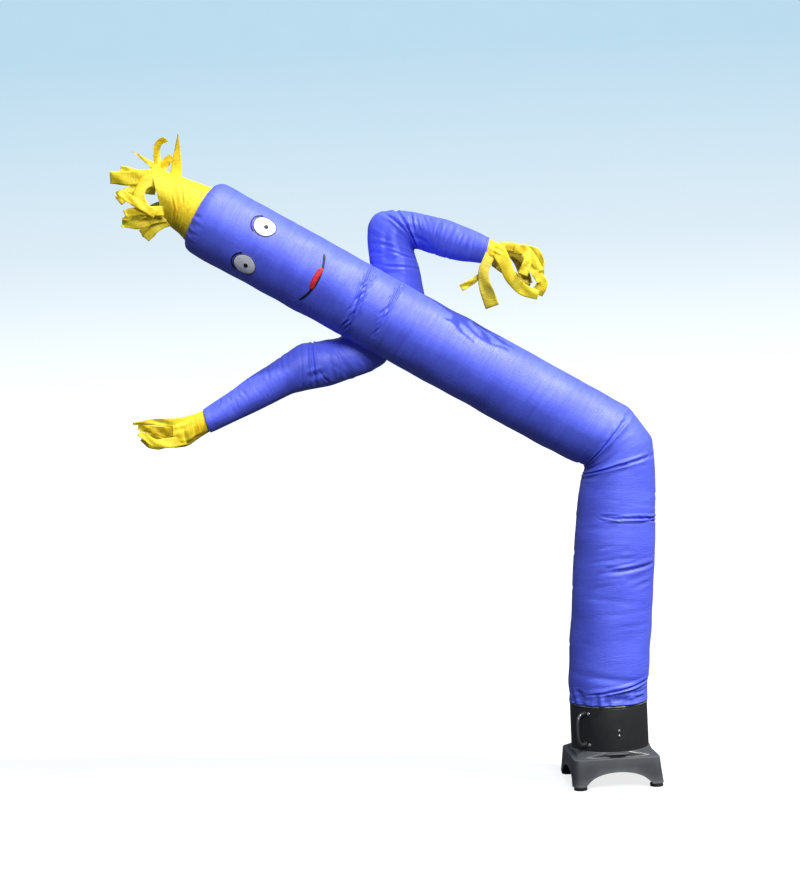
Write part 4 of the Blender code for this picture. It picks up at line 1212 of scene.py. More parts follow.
LOWERED_SECTIONS = (
    Section(-.76, 1.71, -.95, 1.805, .078, .072),
    Section(-.805, 1.645, -.972, 1.756, .08, .078),
    Section(-.868, 1.613, -1.003, 1.748, .076, .086),
    Section(-.94, 1.591, -1.034, 1.746, .07, .09),
    Section(-1.018, 1.567, -1.064, 1.742, .06, .09),
    Section(-1.058, 1.562, -1.098, 1.739, .055, .09),
    Section(-1.112, 1.556, -1.13, 1.735, .05, .088),
    Section(-1.166, 1.544, -1.212, 1.686, .04, .078),
    Section(-1.314, 1.476, -1.366, 1.587, .01, .063),
    Section(-1.483, 1.406, -1.507, 1.497, -.025, .047),
)
LOWERED_CUFF = (
    Section(-1.525, 1.384, -1.539, 1.486, -.032, .045),
    Section(-1.574, 1.352, -1.574, 1.477, -.038, .04),
    Section(-1.622, 1.349, -1.62, 1.472, -.044, .036),
)
HAIR_SECTIONS = (
    trunk_section(TRUNK_LENGTH - 0.014, 0.1152),
    trunk_section(TRUNK_LENGTH + 0.004, 0.1148),
    Section(-1.575, 2.18, -1.548, 2.389, 0.0, 0.102),
    Section(-1.616, 2.213, -1.663, 2.431, 0.0, 0.09),
)
CUFF_INSET = -0.005
CUFF_OVERLAP = 0.012


def tube_length(sections: Sequence[Section]) -> float:
    """Return the length along the middles of some sections."""
    middles = [((s.low_x + s.high_x) / 2, s.y, (s.low_z + s.high_z) / 2) for s in sections]
    return sum(math.dist(first, second) for first, second in zip(middles, middles[1:]))


def blue_sleeve(name: str, sections: Sequence[Section], **folds: object) -> ClothTube:
    """Give a sleeve that is sewn on the trunk.

    Args:
        name: the sleeve's name.
        sections: its sections from the trunk to the wrist.
        **folds: its folds and their seed.

    Returns:
        The tube, not built yet.
    """
    return ClothTube(f"{name}_cloth", sections, "blue_nylon", (name,), "blue_cloth", sides=110, step=0.0042,
                     calm=0.03, unrest=0.0012, **folds)


def yellow_cuff(name: str, sleeve: Sequence[Section], sections: Sequence[Section],
                **folds: object) -> ClothTube:
    """Give a cuff that starts inside its sleeve's end.

    Args:
        name: the cuff's name.
        sleeve: the sleeve's sections.
        sections: the cuff's own sections.
        **folds: its folds and their seed.

    Returns:
        The tube, not built yet.
    """
    return ClothTube(f"{name}_cloth", (*sleeve, *sections), "yellow_nylon", (name,), "yellow_cloth", sides=84,
                     step=0.0036, begin=tube_length(sleeve) - CUFF_OVERLAP, offset=CUFF_INSET, end_hem=False,
                     unrest=0.0006, **folds)


def raised_sleeve() -> ClothTube:
    """Describe the raised sleeve.

    Returns:
        The tube, not built yet.
    """
    creases = (
        Crease(.118, 40, 50, .007, -.0036, .01), Crease(.155, 110, 50, .005, -.0036, .01, .5),
        Crease(.205, 120, 44, .005, -.0034, -.008, .5), Crease(.235, 60, 40, .005, .0022, .01),
        Crease(.322, 66, 40, .004, -.006, .014, .8), Crease(.336, 60, 46, .005, .004, .008, .4),
        Crease(.35, 74, 84, .0042, -.0088, .002, .8), Crease(.366, 62, 56, .005, .0044, -.004, .4),
        Crease(.378, 70, 50, .004, -.0066, -.01, .8), Crease(.352, 140, 50, .006, -.0046, .006, .5),
        Crease(.47, 110, 44, .0046, -.0046, -.014, .5), Crease(.5, 84, 40, .005, .0026, -.012),
        Crease(.53, 112, 40, .0046, -.0044, -.012, .5), Crease(.556, 70, 44, .0065, .0026, -.01),
        Crease(.585, 98, 44, .0046, -.0042, -.012, .5), Crease(.612, 110, 50, .0065, -.0034, -.008),
    )
    pleats = (
        Pleat(96, .13, .33, 9.0, .005, -8.0), Pleat(74, .15, .3, 6.0, -.003, 10.0),
        Pleat(120, .34, .44, 7.0, -.004, 12.0), Pleat(78, .32, .4, 6.0, .0034, -8.0),
    )
    patches = (
        Wrinkles(31, 34, (.12, .32), (10, 170), (10, 30), (.004, .007), (-.0026, .0016)),
        Wrinkles(32, 26, (.3, .42), (10, 150), (10, 30), (.004, .006), (-.0034, .0024)),
        Wrinkles(33, 46, (.42, .66), (20, 170), (12, 34), (.004, .007), (-.0026, .0018), (-.014, .004)),
        Wrinkles(34, 40, (.1, .66), (180, 350), (12, 34), (.005, .008), (-.003, .0018)),
    )
    return blue_sleeve("raised_sleeve", RAISED_SECTIONS, root=RAISED_ROOT, smoothing=0.012, creases=creases,
                       pleats=pleats, wrinkles=patches, seed=6)


def lowered_sleeve() -> ClothTube:
    """Describe the lowered sleeve.

    Returns:
        The tube, not built yet.
    """
    creases = (
        Crease(.25, 72, 104, .0048, .005, .012, .2), Crease(.262, 74, 100, .0038, -.0092, .014, .2),
        Crease(.272, 80, 90, .005, .0044, .016, .2), Crease(.292, 112, 46, .0038, -.007, .046, .2),
        Crease(.302, 122, 44, .0044, .0034, .05), Crease(.236, 136, 34, .0038, -.005, -.036, .2),
        Crease(.316, 108, 34, .004, -.004, .016, .5), Crease(.205, 112, 40, .006, -.0042, .012),
        Crease(.16, 120, 60, .009, -.0035, .012), Crease(.36, 40, 46, .007, -.0026, .01),
        Crease(.44, 36, 44, .007, -.0024, .01),
    )
    pleats = (
        Pleat(118, .225, .3, 6.0, -.005, 10.0), Pleat(104, .24, .3, 4.0, .0036, 8.0),
    )
    patches = (
        Wrinkles(41, 44, (.1, .24), (20, 160), (9, 26), (.004, .007), (-.0028, .002), (0, .018)),
        Wrinkles(42, 40, (.3, .66), (8, 60), (10, 26), (.004, .007), (-.0024, .0014), (-.004, .012)),
        Wrinkles(43, 34, (.3, .66), (60, 170), (9, 22), (.004, .007), (-.001, .0008)),
        Wrinkles(44, 40, (.1, .66), (180, 350), (12, 34), (.005, .008), (-.003, .0018)),
    )
    return blue_sleeve("lowered_sleeve", LOWERED_SECTIONS, root=LOWERED_ROOT, smoothing=0.014,
                       creases=creases, pleats=pleats, wrinkles=patches, seed=7)


def raised_cuff() -> ClothTube:
    """Describe the raised arm's cuff."""
    wrist = tube_length(RAISED_SECTIONS)
    creases = (Crease(wrist + 0.026, 70, 60, 0.006, -0.003, 0.006),
               Crease(wrist + 0.04, 120, 50, 0.006, -0.0034, -0.006))
    pleats = [Pleat(around, wrist + 0.004, wrist + 0.1, *shape) for around, *shape in (
        (70, 8, -0.004, 14), (110, 7, 0.0034, 10), (150, 8, -0.004, -10), (30, 8, 0.003, 10))]
    return yellow_cuff("raised_cuff", RAISED_SECTIONS, RAISED_CUFF, creases=creases, pleats=pleats, seed=8)


def lowered_cuff() -> ClothTube:
    """Describe the lowered arm's cuff."""
    wrist = tube_length(LOWERED_SECTIONS)
    creases = (Crease(wrist + 0.05, 130, 50, 0.008, -0.003, 0.01),
               Crease(wrist + 0.09, 110, 40, 0.008, -0.004, -0.01))
    pleats = (Pleat(80, wrist + 0.03, wrist + 0.2, 7, -0.0022, 16),
              Pleat(125, wrist + 0.02, wrist + 0.2, 7, 0.002, -12),
              Pleat(150, wrist + 0.02, wrist + 0.2, 7, -0.0036, 8))
    return yellow_cuff("lowered_cuff", LOWERED_SECTIONS, LOWERED_CUFF, smoothing=0.016, creases=creases,
                       pleats=pleats, seed=9)


def hair_tube() -> ClothTube:
    """Describe the yellow tube of the hair, gathered towards its cut end."""
    pleats = tuple(Pleat(around, 0.01, 0.26, width, height, drift) for around, width, height, drift in (
        (20, 5.0, -0.0055, 14), (38, 4.5, 0.004, 10), (56, 5.0, -0.006, 8), (76, 4.5, 0.0042, 4),
        (94, 5.0, -0.0064, -4), (112, 4.5, 0.0044, -6), (130, 5.0, -0.006, -8), (150, 4.5, 0.004, -10),
        (170, 5.0, -0.0056, -10), (196, 5.0, 0.0036, 6), (222, 6.0, -0.0054, 8), (252, 6.0, 0.0036, 4),
        (280, 6.0, -0.005, -6), (310, 6.0, 0.0036, -8), (338, 6.0, -0.005, 10)))
    return ClothTube("hair_cloth", HAIR_SECTIONS, "yellow_nylon", ("hair_tube",), "yellow_cloth", sides=120,
                     step=0.0036, smoothing=0.01, end_hem=False, unrest=0.0016, seed=10,
                     creases=(Crease(0.052, 116, 26, 0.0046, -0.0044, 0.03, 0.6),
                              Crease(0.084, 70, 24, 0.0044, -0.004, -0.034, 0.6),
                              Crease(0.118, 130, 26, 0.005, -0.0048, 0.034, 0.6),
                              Crease(0.104, 96, 18, 0.0046, 0.0034, -0.03),
                              Crease(0.066, 150, 26, 0.0046, 0.0034, 0.024)),
                     wrinkles=(Wrinkles(51, 30, (0.02, 0.13), (0, 360), (10, 26), (0.004, 0.006),
                                        (-0.003, 0.0022), (-0.012, 0.012)),))


# The face


@dataclass
class PrintedFace:
    """A plain smiling face of thin cloth shapes sewn flat on the head."""

    tube: ClothTube
    middle: float = 94.5
    eye_along: float = 2.556
    eye_turn: float = 33.5
    eye_long: float = 0.046
    eye_wide: float = 0.043
    pupil: float = 0.0085
    outline: float = 0.003
    mouth_along: float = 2.282
    mouth_bow: float = 0.03
    mouth_turn: float = 41.5
    lift: float = 0.0013
    layer: float = 0.0005

    def __post_init__(self) -> None:
        """Measure the head's cloth once, on a fine grid of distances and angles."""
        self.rows = np.linspace(2.2, 2.64, 221)
        self.columns = np.radians(np.linspace(36.0, 153.0, 196))
        self.cloth = self.tube.surface(self.rows, self.columns)
        self.outward = (self.tube.surface(self.rows, self.columns, 0.01) - self.cloth) * 100.0

    def spot(self, along: float, arc: float, off: float) -> np.ndarray:
        """Place one point on the head.

        Args:
            along: distance along the tube.
            arc: angle, in radians.
            off: distance off the cloth.

        Returns:
            The point.
        """
        row = np.interp(along, self.rows, np.arange(len(self.rows)))
        column = np.interp(arc, self.columns, np.arange(len(self.columns)))
        low, left = min(int(row), len(self.rows) - 2), min(int(column), len(self.columns) - 2)
        up, right = row - low, column - left
        block = self.cloth[low:low + 2, left:left + 2] + self.outward[low:low + 2, left:left + 2] * off
        near = block[0, 0] * (1 - right) + block[0, 1] * right
        far = block[1, 0] * (1 - right) + block[1, 1] * right
        return near * (1 - up) + far * up

    def disc(self, name: str, along: float, around: float, half_long: float, half_wide: float, off: float,
             finish: str, hole: float = 0.0, sweep: Range = (0.0, 360.0)) -> Piece:
        """Cut a round or ring-shaped patch that lies on the head.

        Args:
            name: the piece's name.
            along: its middle along the tube.
            around: its middle round the tube, in degrees.
            half_long: half size along the tube.
            half_wide: half size round the tube.
            off: distance off the cloth.
            finish: its finish.
            hole: share of the size that is open inside.
            sweep: the part of the ring that is kept, in degrees, from the crown's side.

        Returns:
            The patch.
        """
        rings, sides = 7, 72
        shares = np.linspace(max(hole, 0.001), 1.0, rings)
        full = sweep[1] - sweep[0] >= 360.0
        turns = np.radians(np.linspace(sweep[0], sweep[1], sides, endpoint=not full))
        rows = []
        for share in shares:
            rows.append([self.spot(along + share * half_long * math.cos(turn),
                                   math.radians(around) + share * half_wide * math.sin(turn) / HEAD_RADIUS,
                                   off) for turn in turns])
        return self.patch(name, np.array(rows), full, finish)

    def line(self, name: str, path: Sequence[Range], width: float, off: float, finish: str) -> Piece:
        """Cut a strip that follows a path on the head.

        Args:
            name: the piece's name.
            path: distances along the tube and angles in degrees.
            width: the strip's width.
            off: distance off the cloth.
            finish: its finish.

        Returns:
            The strip.
        """
        rows = []
        for side in np.linspace(-0.5, 0.5, 5):
            row = []
            for index, (along, around) in enumerate(path):
                before, after = path[max(index - 1, 0)], path[min(index + 1, len(path) - 1)]
                run = (after[0] - before[0], math.radians(after[1] - before[1]) * HEAD_RADIUS)
                size = math.hypot(*run)
                end = min(index, len(path) - 1 - index) / 3.0
                narrow = width * side * min(1.0, 0.35 + end)
                row.append(self.spot(along - run[1] / size * narrow,
                                     math.radians(around) + run[0] / size * narrow / HEAD_RADIUS, off))
            rows.append(row)
        return self.patch(name, np.array(rows), False, finish)

    def patch(self, name: str, points: np.ndarray, closed: bool, finish: str) -> Piece:
        """Turn a grid of points into a thin patch.

        Args:
            name: the piece's name.
            points: rows by columns by three.
            closed: whether the last column joins the first.
            finish: its finish.

        Returns:
            The patch.
        """
        shape = bmesh.new()
        rows = [[shape.verts.new(point) for point in row] for row in points]
        layer = shape.loops.layers.uv.new("cloth_metres")
        columns = len(rows[0])
        for low, high in zip(rows, rows[1:]):
            for index in range(columns if closed else columns - 1):
                following = (index + 1) % columns
                shape.faces.new((low[index], low[following], high[following], high[index]))
        outward = Vector((0.0, -1.0, 0.0))
        shape.normal_update()
        if sum(one.normal.dot(outward) for one in shape.faces) < 0:
            bmesh.ops.reverse_faces(shape, faces=shape.faces[:])
        for one in shape.faces:
            for corner in one.loops:
                place = corner.vert.co
                corner[layer].uv = (place.x * math.cos(TRUNK_SLOPE) - place.z * math.sin(TRUNK_SLOPE),
                                    place.x * math.sin(TRUNK_SLOPE) + place.z * math.cos(TRUNK_SLOPE))
        mesh = bpy.data.meshes.new(name)
        shape.to_mesh(mesh)
        shape.free()
        mesh.shade_smooth()
        item = Bench.link(name, mesh)
        Bench.apply(item, "SOLIDIFY", thickness=self.layer, offset=-1.0)
        return Bench.hand_over(item, finish, "blue_cloth")

    def build(self) -> list[Piece]:
        """Make the eyes and the mouth.

        Returns:
            The face's pieces.
        """
        pieces = []
        long, wide, rim = self.eye_long, self.eye_wide, 1.0 - self.outline / self.eye_long
        for name, turn in (("eye_upper", -self.eye_turn), ("eye_lower", self.eye_turn)):
            around = self.middle + turn
            pieces += [
                self.disc(f"{name}_white", self.eye_along, around, long, wide, self.lift, "white_print"),
                self.disc(f"{name}_outline", self.eye_along, around, long, wide, self.lift + 0.0006,
                          "black_print", hole=rim),
                self.disc(f"{name}_lid", self.eye_along + 0.004, around, long * 1.12, wide * 1.12,
                          self.lift + 0.0004, "black_print", hole=0.9, sweep=(-62.0, 62.0)),
                self.disc(f"{name}_pupil", self.eye_along - 0.006, around, self.pupil, self.pupil,
                          self.lift + 0.0012, "black_print")]
        shares = np.linspace(-1.0, 1.0, 41)
        smile = [(self.mouth_along + self.mouth_bow * share ** 2, self.middle + self.mouth_turn * share)
                 for share in shares]
        inner = [(along + 0.012 * (1.0 - (share / 0.45) ** 2), around)
                 for (along, around), share in zip(smile, shares) if abs(share) < 0.45]
        pieces.append(self.line("smile_line", smile, 0.009, self.lift, "black_print"))
        pieces.append(self.line("smile_red", inner, 0.02, self.lift + 0.0006, "red_print"))
        return pieces


# The streamers


class Streamer(NamedTuple):
    """A cut strip of thin nylon: its path, its widths, its turn to the viewer and its end."""

    name: str
    path: tuple[Point, ...]
    width: float
    tip_width: float
    turn: float
    tip: TipCut = TipCut.STRAIGHT


HAIR_STREAMERS = (
    Streamer("spike", ((-1.586, .05, 2.386), (-1.579, .055, 2.43), (-1.571, .045, 2.5), (-1.562, .02, 2.564)),
             .058, .003, 0, TipCut.POINTED),
    Streamer("short_flat", ((-1.643, .05, 2.407), (-1.63, .055, 2.446), (-1.609, .05, 2.467),
             (-1.593, .045, 2.479)), .036, .03, 10),
    Streamer("curled", ((-1.652, .03, 2.404), (-1.65, .035, 2.455), (-1.649, .03, 2.508),
             (-1.633, .02, 2.536), (-1.607, 0.0, 2.538)), .032, .026, 30),
    Streamer("thin", ((-1.649, -.01, 2.421), (-1.669, -.02, 2.447), (-1.701, -.03, 2.47),
             (-1.731, -.04, 2.492)), .028, .003, 20, TipCut.POINTED),
    Streamer("wide", ((-1.637, -.05, 2.392), (-1.681, -.06, 2.392), (-1.742, -.06, 2.385),
             (-1.819, -.05, 2.394)), .055, .05, 0),
    Streamer("hole_edge", ((-1.649, -.07, 2.382), (-1.69, -.08, 2.359), (-1.71, -.09, 2.317),
             (-1.692, -.095, 2.267), (-1.653, -.09, 2.239)), .048, .04, 0),
    Streamer("short_left", ((-1.668, -.05, 2.37), (-1.713, -.06, 2.352), (-1.752, -.06, 2.331),
             (-1.791, -.06, 2.302)), .044, .038, 0),
    Streamer("crossing", ((-1.644, -.1, 2.241), (-1.694, -.11, 2.272), (-1.737, -.115, 2.3),
             (-1.778, -.11, 2.329)), .034, .03, 0),
    Streamer("rolled", ((-1.616, -.08, 2.254), (-1.673, -.1, 2.254), (-1.741, -.1, 2.253),
             (-1.799, -.09, 2.234)), .036, .026, 0, TipCut.ROLLED),
    Streamer("low", ((-1.613, -.05, 2.235), (-1.664, -.07, 2.227), (-1.717, -.075, 2.206),
             (-1.779, -.07, 2.217)), .038, .032, 0),
    Streamer("drop", ((-1.593, -.03, 2.232), (-1.63, -.045, 2.217), (-1.661, -.05, 2.191),
             (-1.694, -.045, 2.155)), .05, .03, 0),
    Streamer("back_drop", ((-1.617, .03, 2.237), (-1.658, .04, 2.221), (-1.695, .05, 2.204),
             (-1.727, .05, 2.186)), .04, .036, 10),
    Streamer("back_low", ((-1.65, .06, 2.292), (-1.704, .08, 2.278), (-1.754, .09, 2.254),
             (-1.801, .09, 2.244)), .038, .034, 15),
    Streamer("back_left", ((-1.665, .08, 2.358), (-1.719, .1, 2.367), (-1.772, .11, 2.359),
             (-1.823, .11, 2.345)), .04, .036, 10),
    Streamer("back_high", ((-1.668, .06, 2.401), (-1.713, .08, 2.418), (-1.761, .09, 2.433),
             (-1.803, .09, 2.443)), .038, .034, 20),
)
RAISED_STREAMERS = (
    Streamer("hanging", ((-.384, -.15, 2.045), (-.406, -.175, 1.999), (-.423, -.18, 1.966),
             (-.421, -.18, 1.921), (-.393, -.175, 1.831)), .036, .056, 180),
    Streamer("side", ((-.404, -.15, 2.001), (-.425, -.155, 1.957), (-.46, -.155, 1.932),
             (-.506, -.15, 1.908)), .018, .026, 0),
    Streamer("front", ((-.368, -.15, 2.056), (-.346, -.18, 2.007), (-.323, -.185, 1.939), (-.28, -.18, 1.889),
             (-.22, -.17, 1.868)), .052, .036, 0),
    Streamer("over", ((-.353, -.14, 2.06), (-.301, -.15, 2.053), (-.249, -.155, 2.035), (-.225, -.16, 1.993),
             (-.205, -.16, 1.954)), .034, .03, 0),
    Streamer("bright", ((-.302, -.16, 2.045), (-.256, -.185, 2.036), (-.255, -.2, 1.994),
             (-.277, -.2, 1.943)), .036, .036, 0),
    Streamer("right", ((-.269, -.12, 2.051), (-.217, -.13, 2.033), (-.2, -.13, 1.994), (-.209, -.125, 1.95)),
             .034, .036, 15),
    Streamer("knuckle", ((-.236, -.15, 1.994), (-.224, -.165, 1.955), (-.199, -.16, 1.913),
             (-.222, -.15, 1.873)), .04, .044, 0),
    Streamer("behind", ((-.343, -.11, 2.059), (-.299, -.115, 2.03), (-.278, -.11, 2.0), (-.25, -.1, 1.916)),
             .044, .04, 185),
    Streamer("palm", ((-.375, -.1, 2.005), (-.343, -.11, 1.98), (-.302, -.11, 1.948), (-.251, -.105, 1.901)),
             .036, .034, 180),
)
LOWERED_STREAMERS = (
    Streamer("upper", ((-1.572, -.06, 1.444), (-1.631, -.075, 1.452), (-1.698, -.08, 1.457),
             (-1.773, -.065, 1.452)), .044, .01, 0, TipCut.POINTED),
    Streamer("lower", ((-1.575, -.06, 1.383), (-1.634, -.08, 1.374), (-1.69, -.085, 1.373),
             (-1.751, -.07, 1.417)), .042, .02, 0),
    Streamer("thumb", ((-1.639, -.04, 1.377), (-1.684, -.05, 1.364), (-1.717, -.055, 1.373),
             (-1.744, -.05, 1.397)), .034, .024, 0),
    Streamer("back", ((-1.62, 0.0, 1.414), (-1.669, -.005, 1.417), (-1.71, -.01, 1.426),
             (-1.763, -.015, 1.44)), .05, .02, 0),
    Streamer("back_low", ((-1.62, -.01, 1.384), (-1.67, -.015, 1.378), (-1.71, -.02, 1.396),
             (-1.74, -.02, 1.412)), .036, .02, 5),
)


@dataclass
class StreamerBunch:
    """The streamers cut from one tube's end, each a thin ribbon with a slight curl across."""

    name: str
    rows: Sequence[Streamer]
    replaces: tuple[str, ...]
    seed: int
    steps: int = 30
    across: int = 8
    cloth: float = 0.0005
    curl: float = 0.045
    flutter: float = 0.0022
    roll_radius: float = 0.0075
    KINK: ClassVar[float] = 0.07

    @staticmethod
    def track(path: Sequence[Point], steps: int) -> list[Vector]:
        """Follow a path's points with short bends between straight runs.

        Args:
            path: the points.
            steps: how many steps the curve gets.

        Returns:
            The curve's points, evenly spaced.
        """
        points = np.array(path, dtype=float)
        lengths = np.concatenate(([0.0], np.cumsum(np.linalg.norm(np.diff(points, axis=0), axis=1))))
        places = np.linspace(0.0, lengths[-1], steps + 1)
        room = np.minimum(np.minimum(places, lengths[-1] - places), StreamerBunch.KINK * lengths[-1])
        shares = np.linspace(-1.0, 1.0, 9)
        line = sum(np.stack([np.interp(places + share * room, lengths, column) for column in points.T], 1)
                   for share in shares) / len(shares)
        return [Vector(point) for point in line]

    def ribbon(self, shape: bmesh.types.BMesh, row: Streamer, draw: random.Random, start_v: float
               ) -> tuple[float, float]:
        """Add one streamer to the bunch.

        Args:
            shape: the bunch's mesh.
            row: the streamer.
            draw: the bunch's seeded numbers.
            start_v: where it starts on the flat cloth.

        Returns:
            The streamer's length and its mean width.
        """
        layer = shape.loops.layers.uv.verify()
        line = self.track(row.path, self.steps)
        length = sum((second - first).length for first, second in zip(line, line[1:]))
        phase = [draw.uniform(0.0, math.tau) for _ in range(4)]
        cup = self.curl * draw.choice((-1.0, 1.0)) * draw.uniform(0.6, 1.2)
        grid, widths = [], []
        turned = Vector((0.0, -1.0, 0.0))
        for step, middle in enumerate(line):
            share = step / self.steps
            way = (line[min(step + 1, self.steps)] - line[max(step - 1, 0)]).normalized()
            side = way.cross(Vector((0.0, 1.0, 0.0)))
            side = side.normalized() if side.length > 0.2 else way.cross(turned).normalized()
            drift = 0.35 if row.tip is TipCut.STRAIGHT else 0.1
            twist = math.radians(row.turn) + drift * math.sin(2.2 * share + phase[0]) * share
            side.rotate(Matrix.Rotation(twist, 3, way))
            face = way.cross(side).normalized()
            power = 1.0 if row.tip is TipCut.POINTED else 1.6
            width = row.width + (row.tip_width - row.width) * share ** power
            width *= 1.0 + 0.05 * math.sin(9.0 * share + phase[1])
            widths.append(width)
            line_points = []
            for index in range(self.across + 1):
                place = index / self.across - 0.5
                wave = self.flutter * math.sin(11.0 * share + 5.0 * place + phase[2]) * min(1.0, share * 3.0)
                edge = 0.7 * self.flutter * math.sin(23.0 * share + phase[3]) * (2.0 * place) ** 2
                lift = cup * width * (1.0 - 4.0 * place * place) + wave + edge
                point = middle + side * (place * width) + face * lift
                if row.tip is TipCut.ROLLED and share > 0.72:
                    turn = (share - 0.72) / 0.28 * 4.6
                    point += face * self.roll_radius * (1.0 - math.cos(turn))
                    point -= way * (share - 0.72) * length * 0.8 - way * self.roll_radius * math.sin(turn)
                line_points.append(shape.verts.new(point + STAND))
            grid.append(line_points)
        mean = sum(widths) / len(widths)
        for step, (low, high) in enumerate(zip(grid, grid[1:])):
            for index in range(self.across):
                made = shape.faces.new((low[index + 1], low[index], high[index], high[index + 1]))
                spots = ((index + 1, step), (index, step), (index, step + 1), (index + 1, step + 1))
                for corner, (column, line_step) in zip(made.loops, spots):
                    corner[layer].uv = (column / self.across * mean + start_v,
                                        line_step / self.steps * length)
        return length, mean

    def build(self) -> Piece:
        """Returns:
            The bunch's object.
        """
        shape = bmesh.new()
        shape.loops.layers.uv.new("cloth_metres")
        draw = random.Random(self.seed)
        area, longest, place = 0.0, 0.0, 0.0
        for row in self.rows:
            length, mean = self.ribbon(shape, row, draw, place)
            area += length * mean
            longest = max(longest, length)
            place += mean + 0.004
        mesh = bpy.data.meshes.new(self.name)
        shape.to_mesh(mesh)
        shape.free()
        mesh.shade_smooth()
        item = Bench.link(self.name, mesh)
        mesh.materials.append(PALETTE["yellow_nylon"])
        # The back faces get the darker yellow copy, painted shade for the shaded backs of the folds.
        mesh.materials.append(PALETTE["yellow_shaded_back"])
        Bench.apply(item, "SOLIDIFY", thickness=self.cloth, offset=0.0, material_offset=1)
        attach(item, BODY_NAME)
        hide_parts(*self.replaces)
        LOG.info("%s: %s", self.name, ", ".join(row.name for row in self.rows))
        return item


# The blower


def drum_place(angle: float, radius: float, height: float) -> Vector:
    """Return a place round the blower; angle 0 is the front and grows to the left."""
    return Vector((-radius * math.sin(angle), -radius * math.cos(angle), height))


@dataclass
class DrumHousing:
    """The round fan housing: a drum, a shoulder and the outlet collar, with a rolled rim between them."""

    radius: float = 0.148
    flare: float = 0.0006
    wall: float = 0.0035
    bottom: float = 0.104
    top: float = 0.298
    collar_radius: float = 0.1412
    collar_top: float = 0.372
    shoulder_rise: float = 0.002
    rim_radius: float = 0.0038
    sides: int = 144

    def housing(self) -> Piece:
        """Make the drum and its collar.

        Returns:
            The housing.
        """
        item = Bench.cylinder("housing", self.sides, self.radius, self.bottom, self.top)
        Bench.edit(item)
        Bench.pick(item, "VERT", lambda vert: vert.co.z < self.bottom + 0.001)
        wide = (self.radius + self.flare) / self.radius
        Bench.resize(wide, wide, level=self.bottom)
        Bench.pick(item, "FACE", lambda face: face.normal.z > 0.9)
        bpy.ops.mesh.inset(thickness=self.radius - self.collar_radius, depth=self.shoulder_rise)
        Bench.draw_out(self.collar_top - self.top - self.shoulder_rise)
        bpy.ops.mesh.inset(thickness=self.wall)
        Bench.draw_out(self.bottom + 0.004 - self.collar_top)
        bpy.ops.mesh.delete(type="FACE")
        Bench.pick(item, "FACE", lambda face: face.normal.z < -0.9)
        bpy.ops.mesh.inset(thickness=self.wall + 0.0015)
        bpy.ops.mesh.delete(type="FACE")
        Bench.close(item)
        Bench.round_edges(item, 0.0011, 3, 40.0)
        Bench.settle(item, BLOWER_PLACE)
        return Bench.hand_over(item, "black_plastic", "black_moulding", ("drum_housing",))

    def rim(self) -> Piece:
        """Make the rolled rim that shows as a worn grey line under the cloth.

        Returns:
            The rim.
        """
        Bench.clear()
        middle = self.collar_radius + 0.0004 + self.rim_radius
        level = self.top + self.shoulder_rise + 0.0004 + self.rim_radius
        bpy.ops.mesh.primitive_torus_add(major_radius=middle, minor_radius=self.rim_radius,
                                         major_segments=160, minor_segments=18, location=(0.0, 0.0, level))
        item = Bench.name(bpy.context.object, "rim_roll")
        bpy.ops.object.transform_apply(location=True, rotation=False, scale=False)
        Bench.edit(item)
        Bench.pick(item, "VERT", lambda vert: vert.co.z < level - 0.4 * self.rim_radius)
        Bench.resize(1.0022, 1.0022, 0.92, level)
        Bench.close(item)
        Bench.settle(item, BLOWER_PLACE, 60.0)
        return Bench.hand_over(item, "worn_rim", "rim_plastic", ("rolled_rim",))

    def build(self) -> list[Piece]:
        """Make both pieces."""
        return [self.housing(), self.rim()]


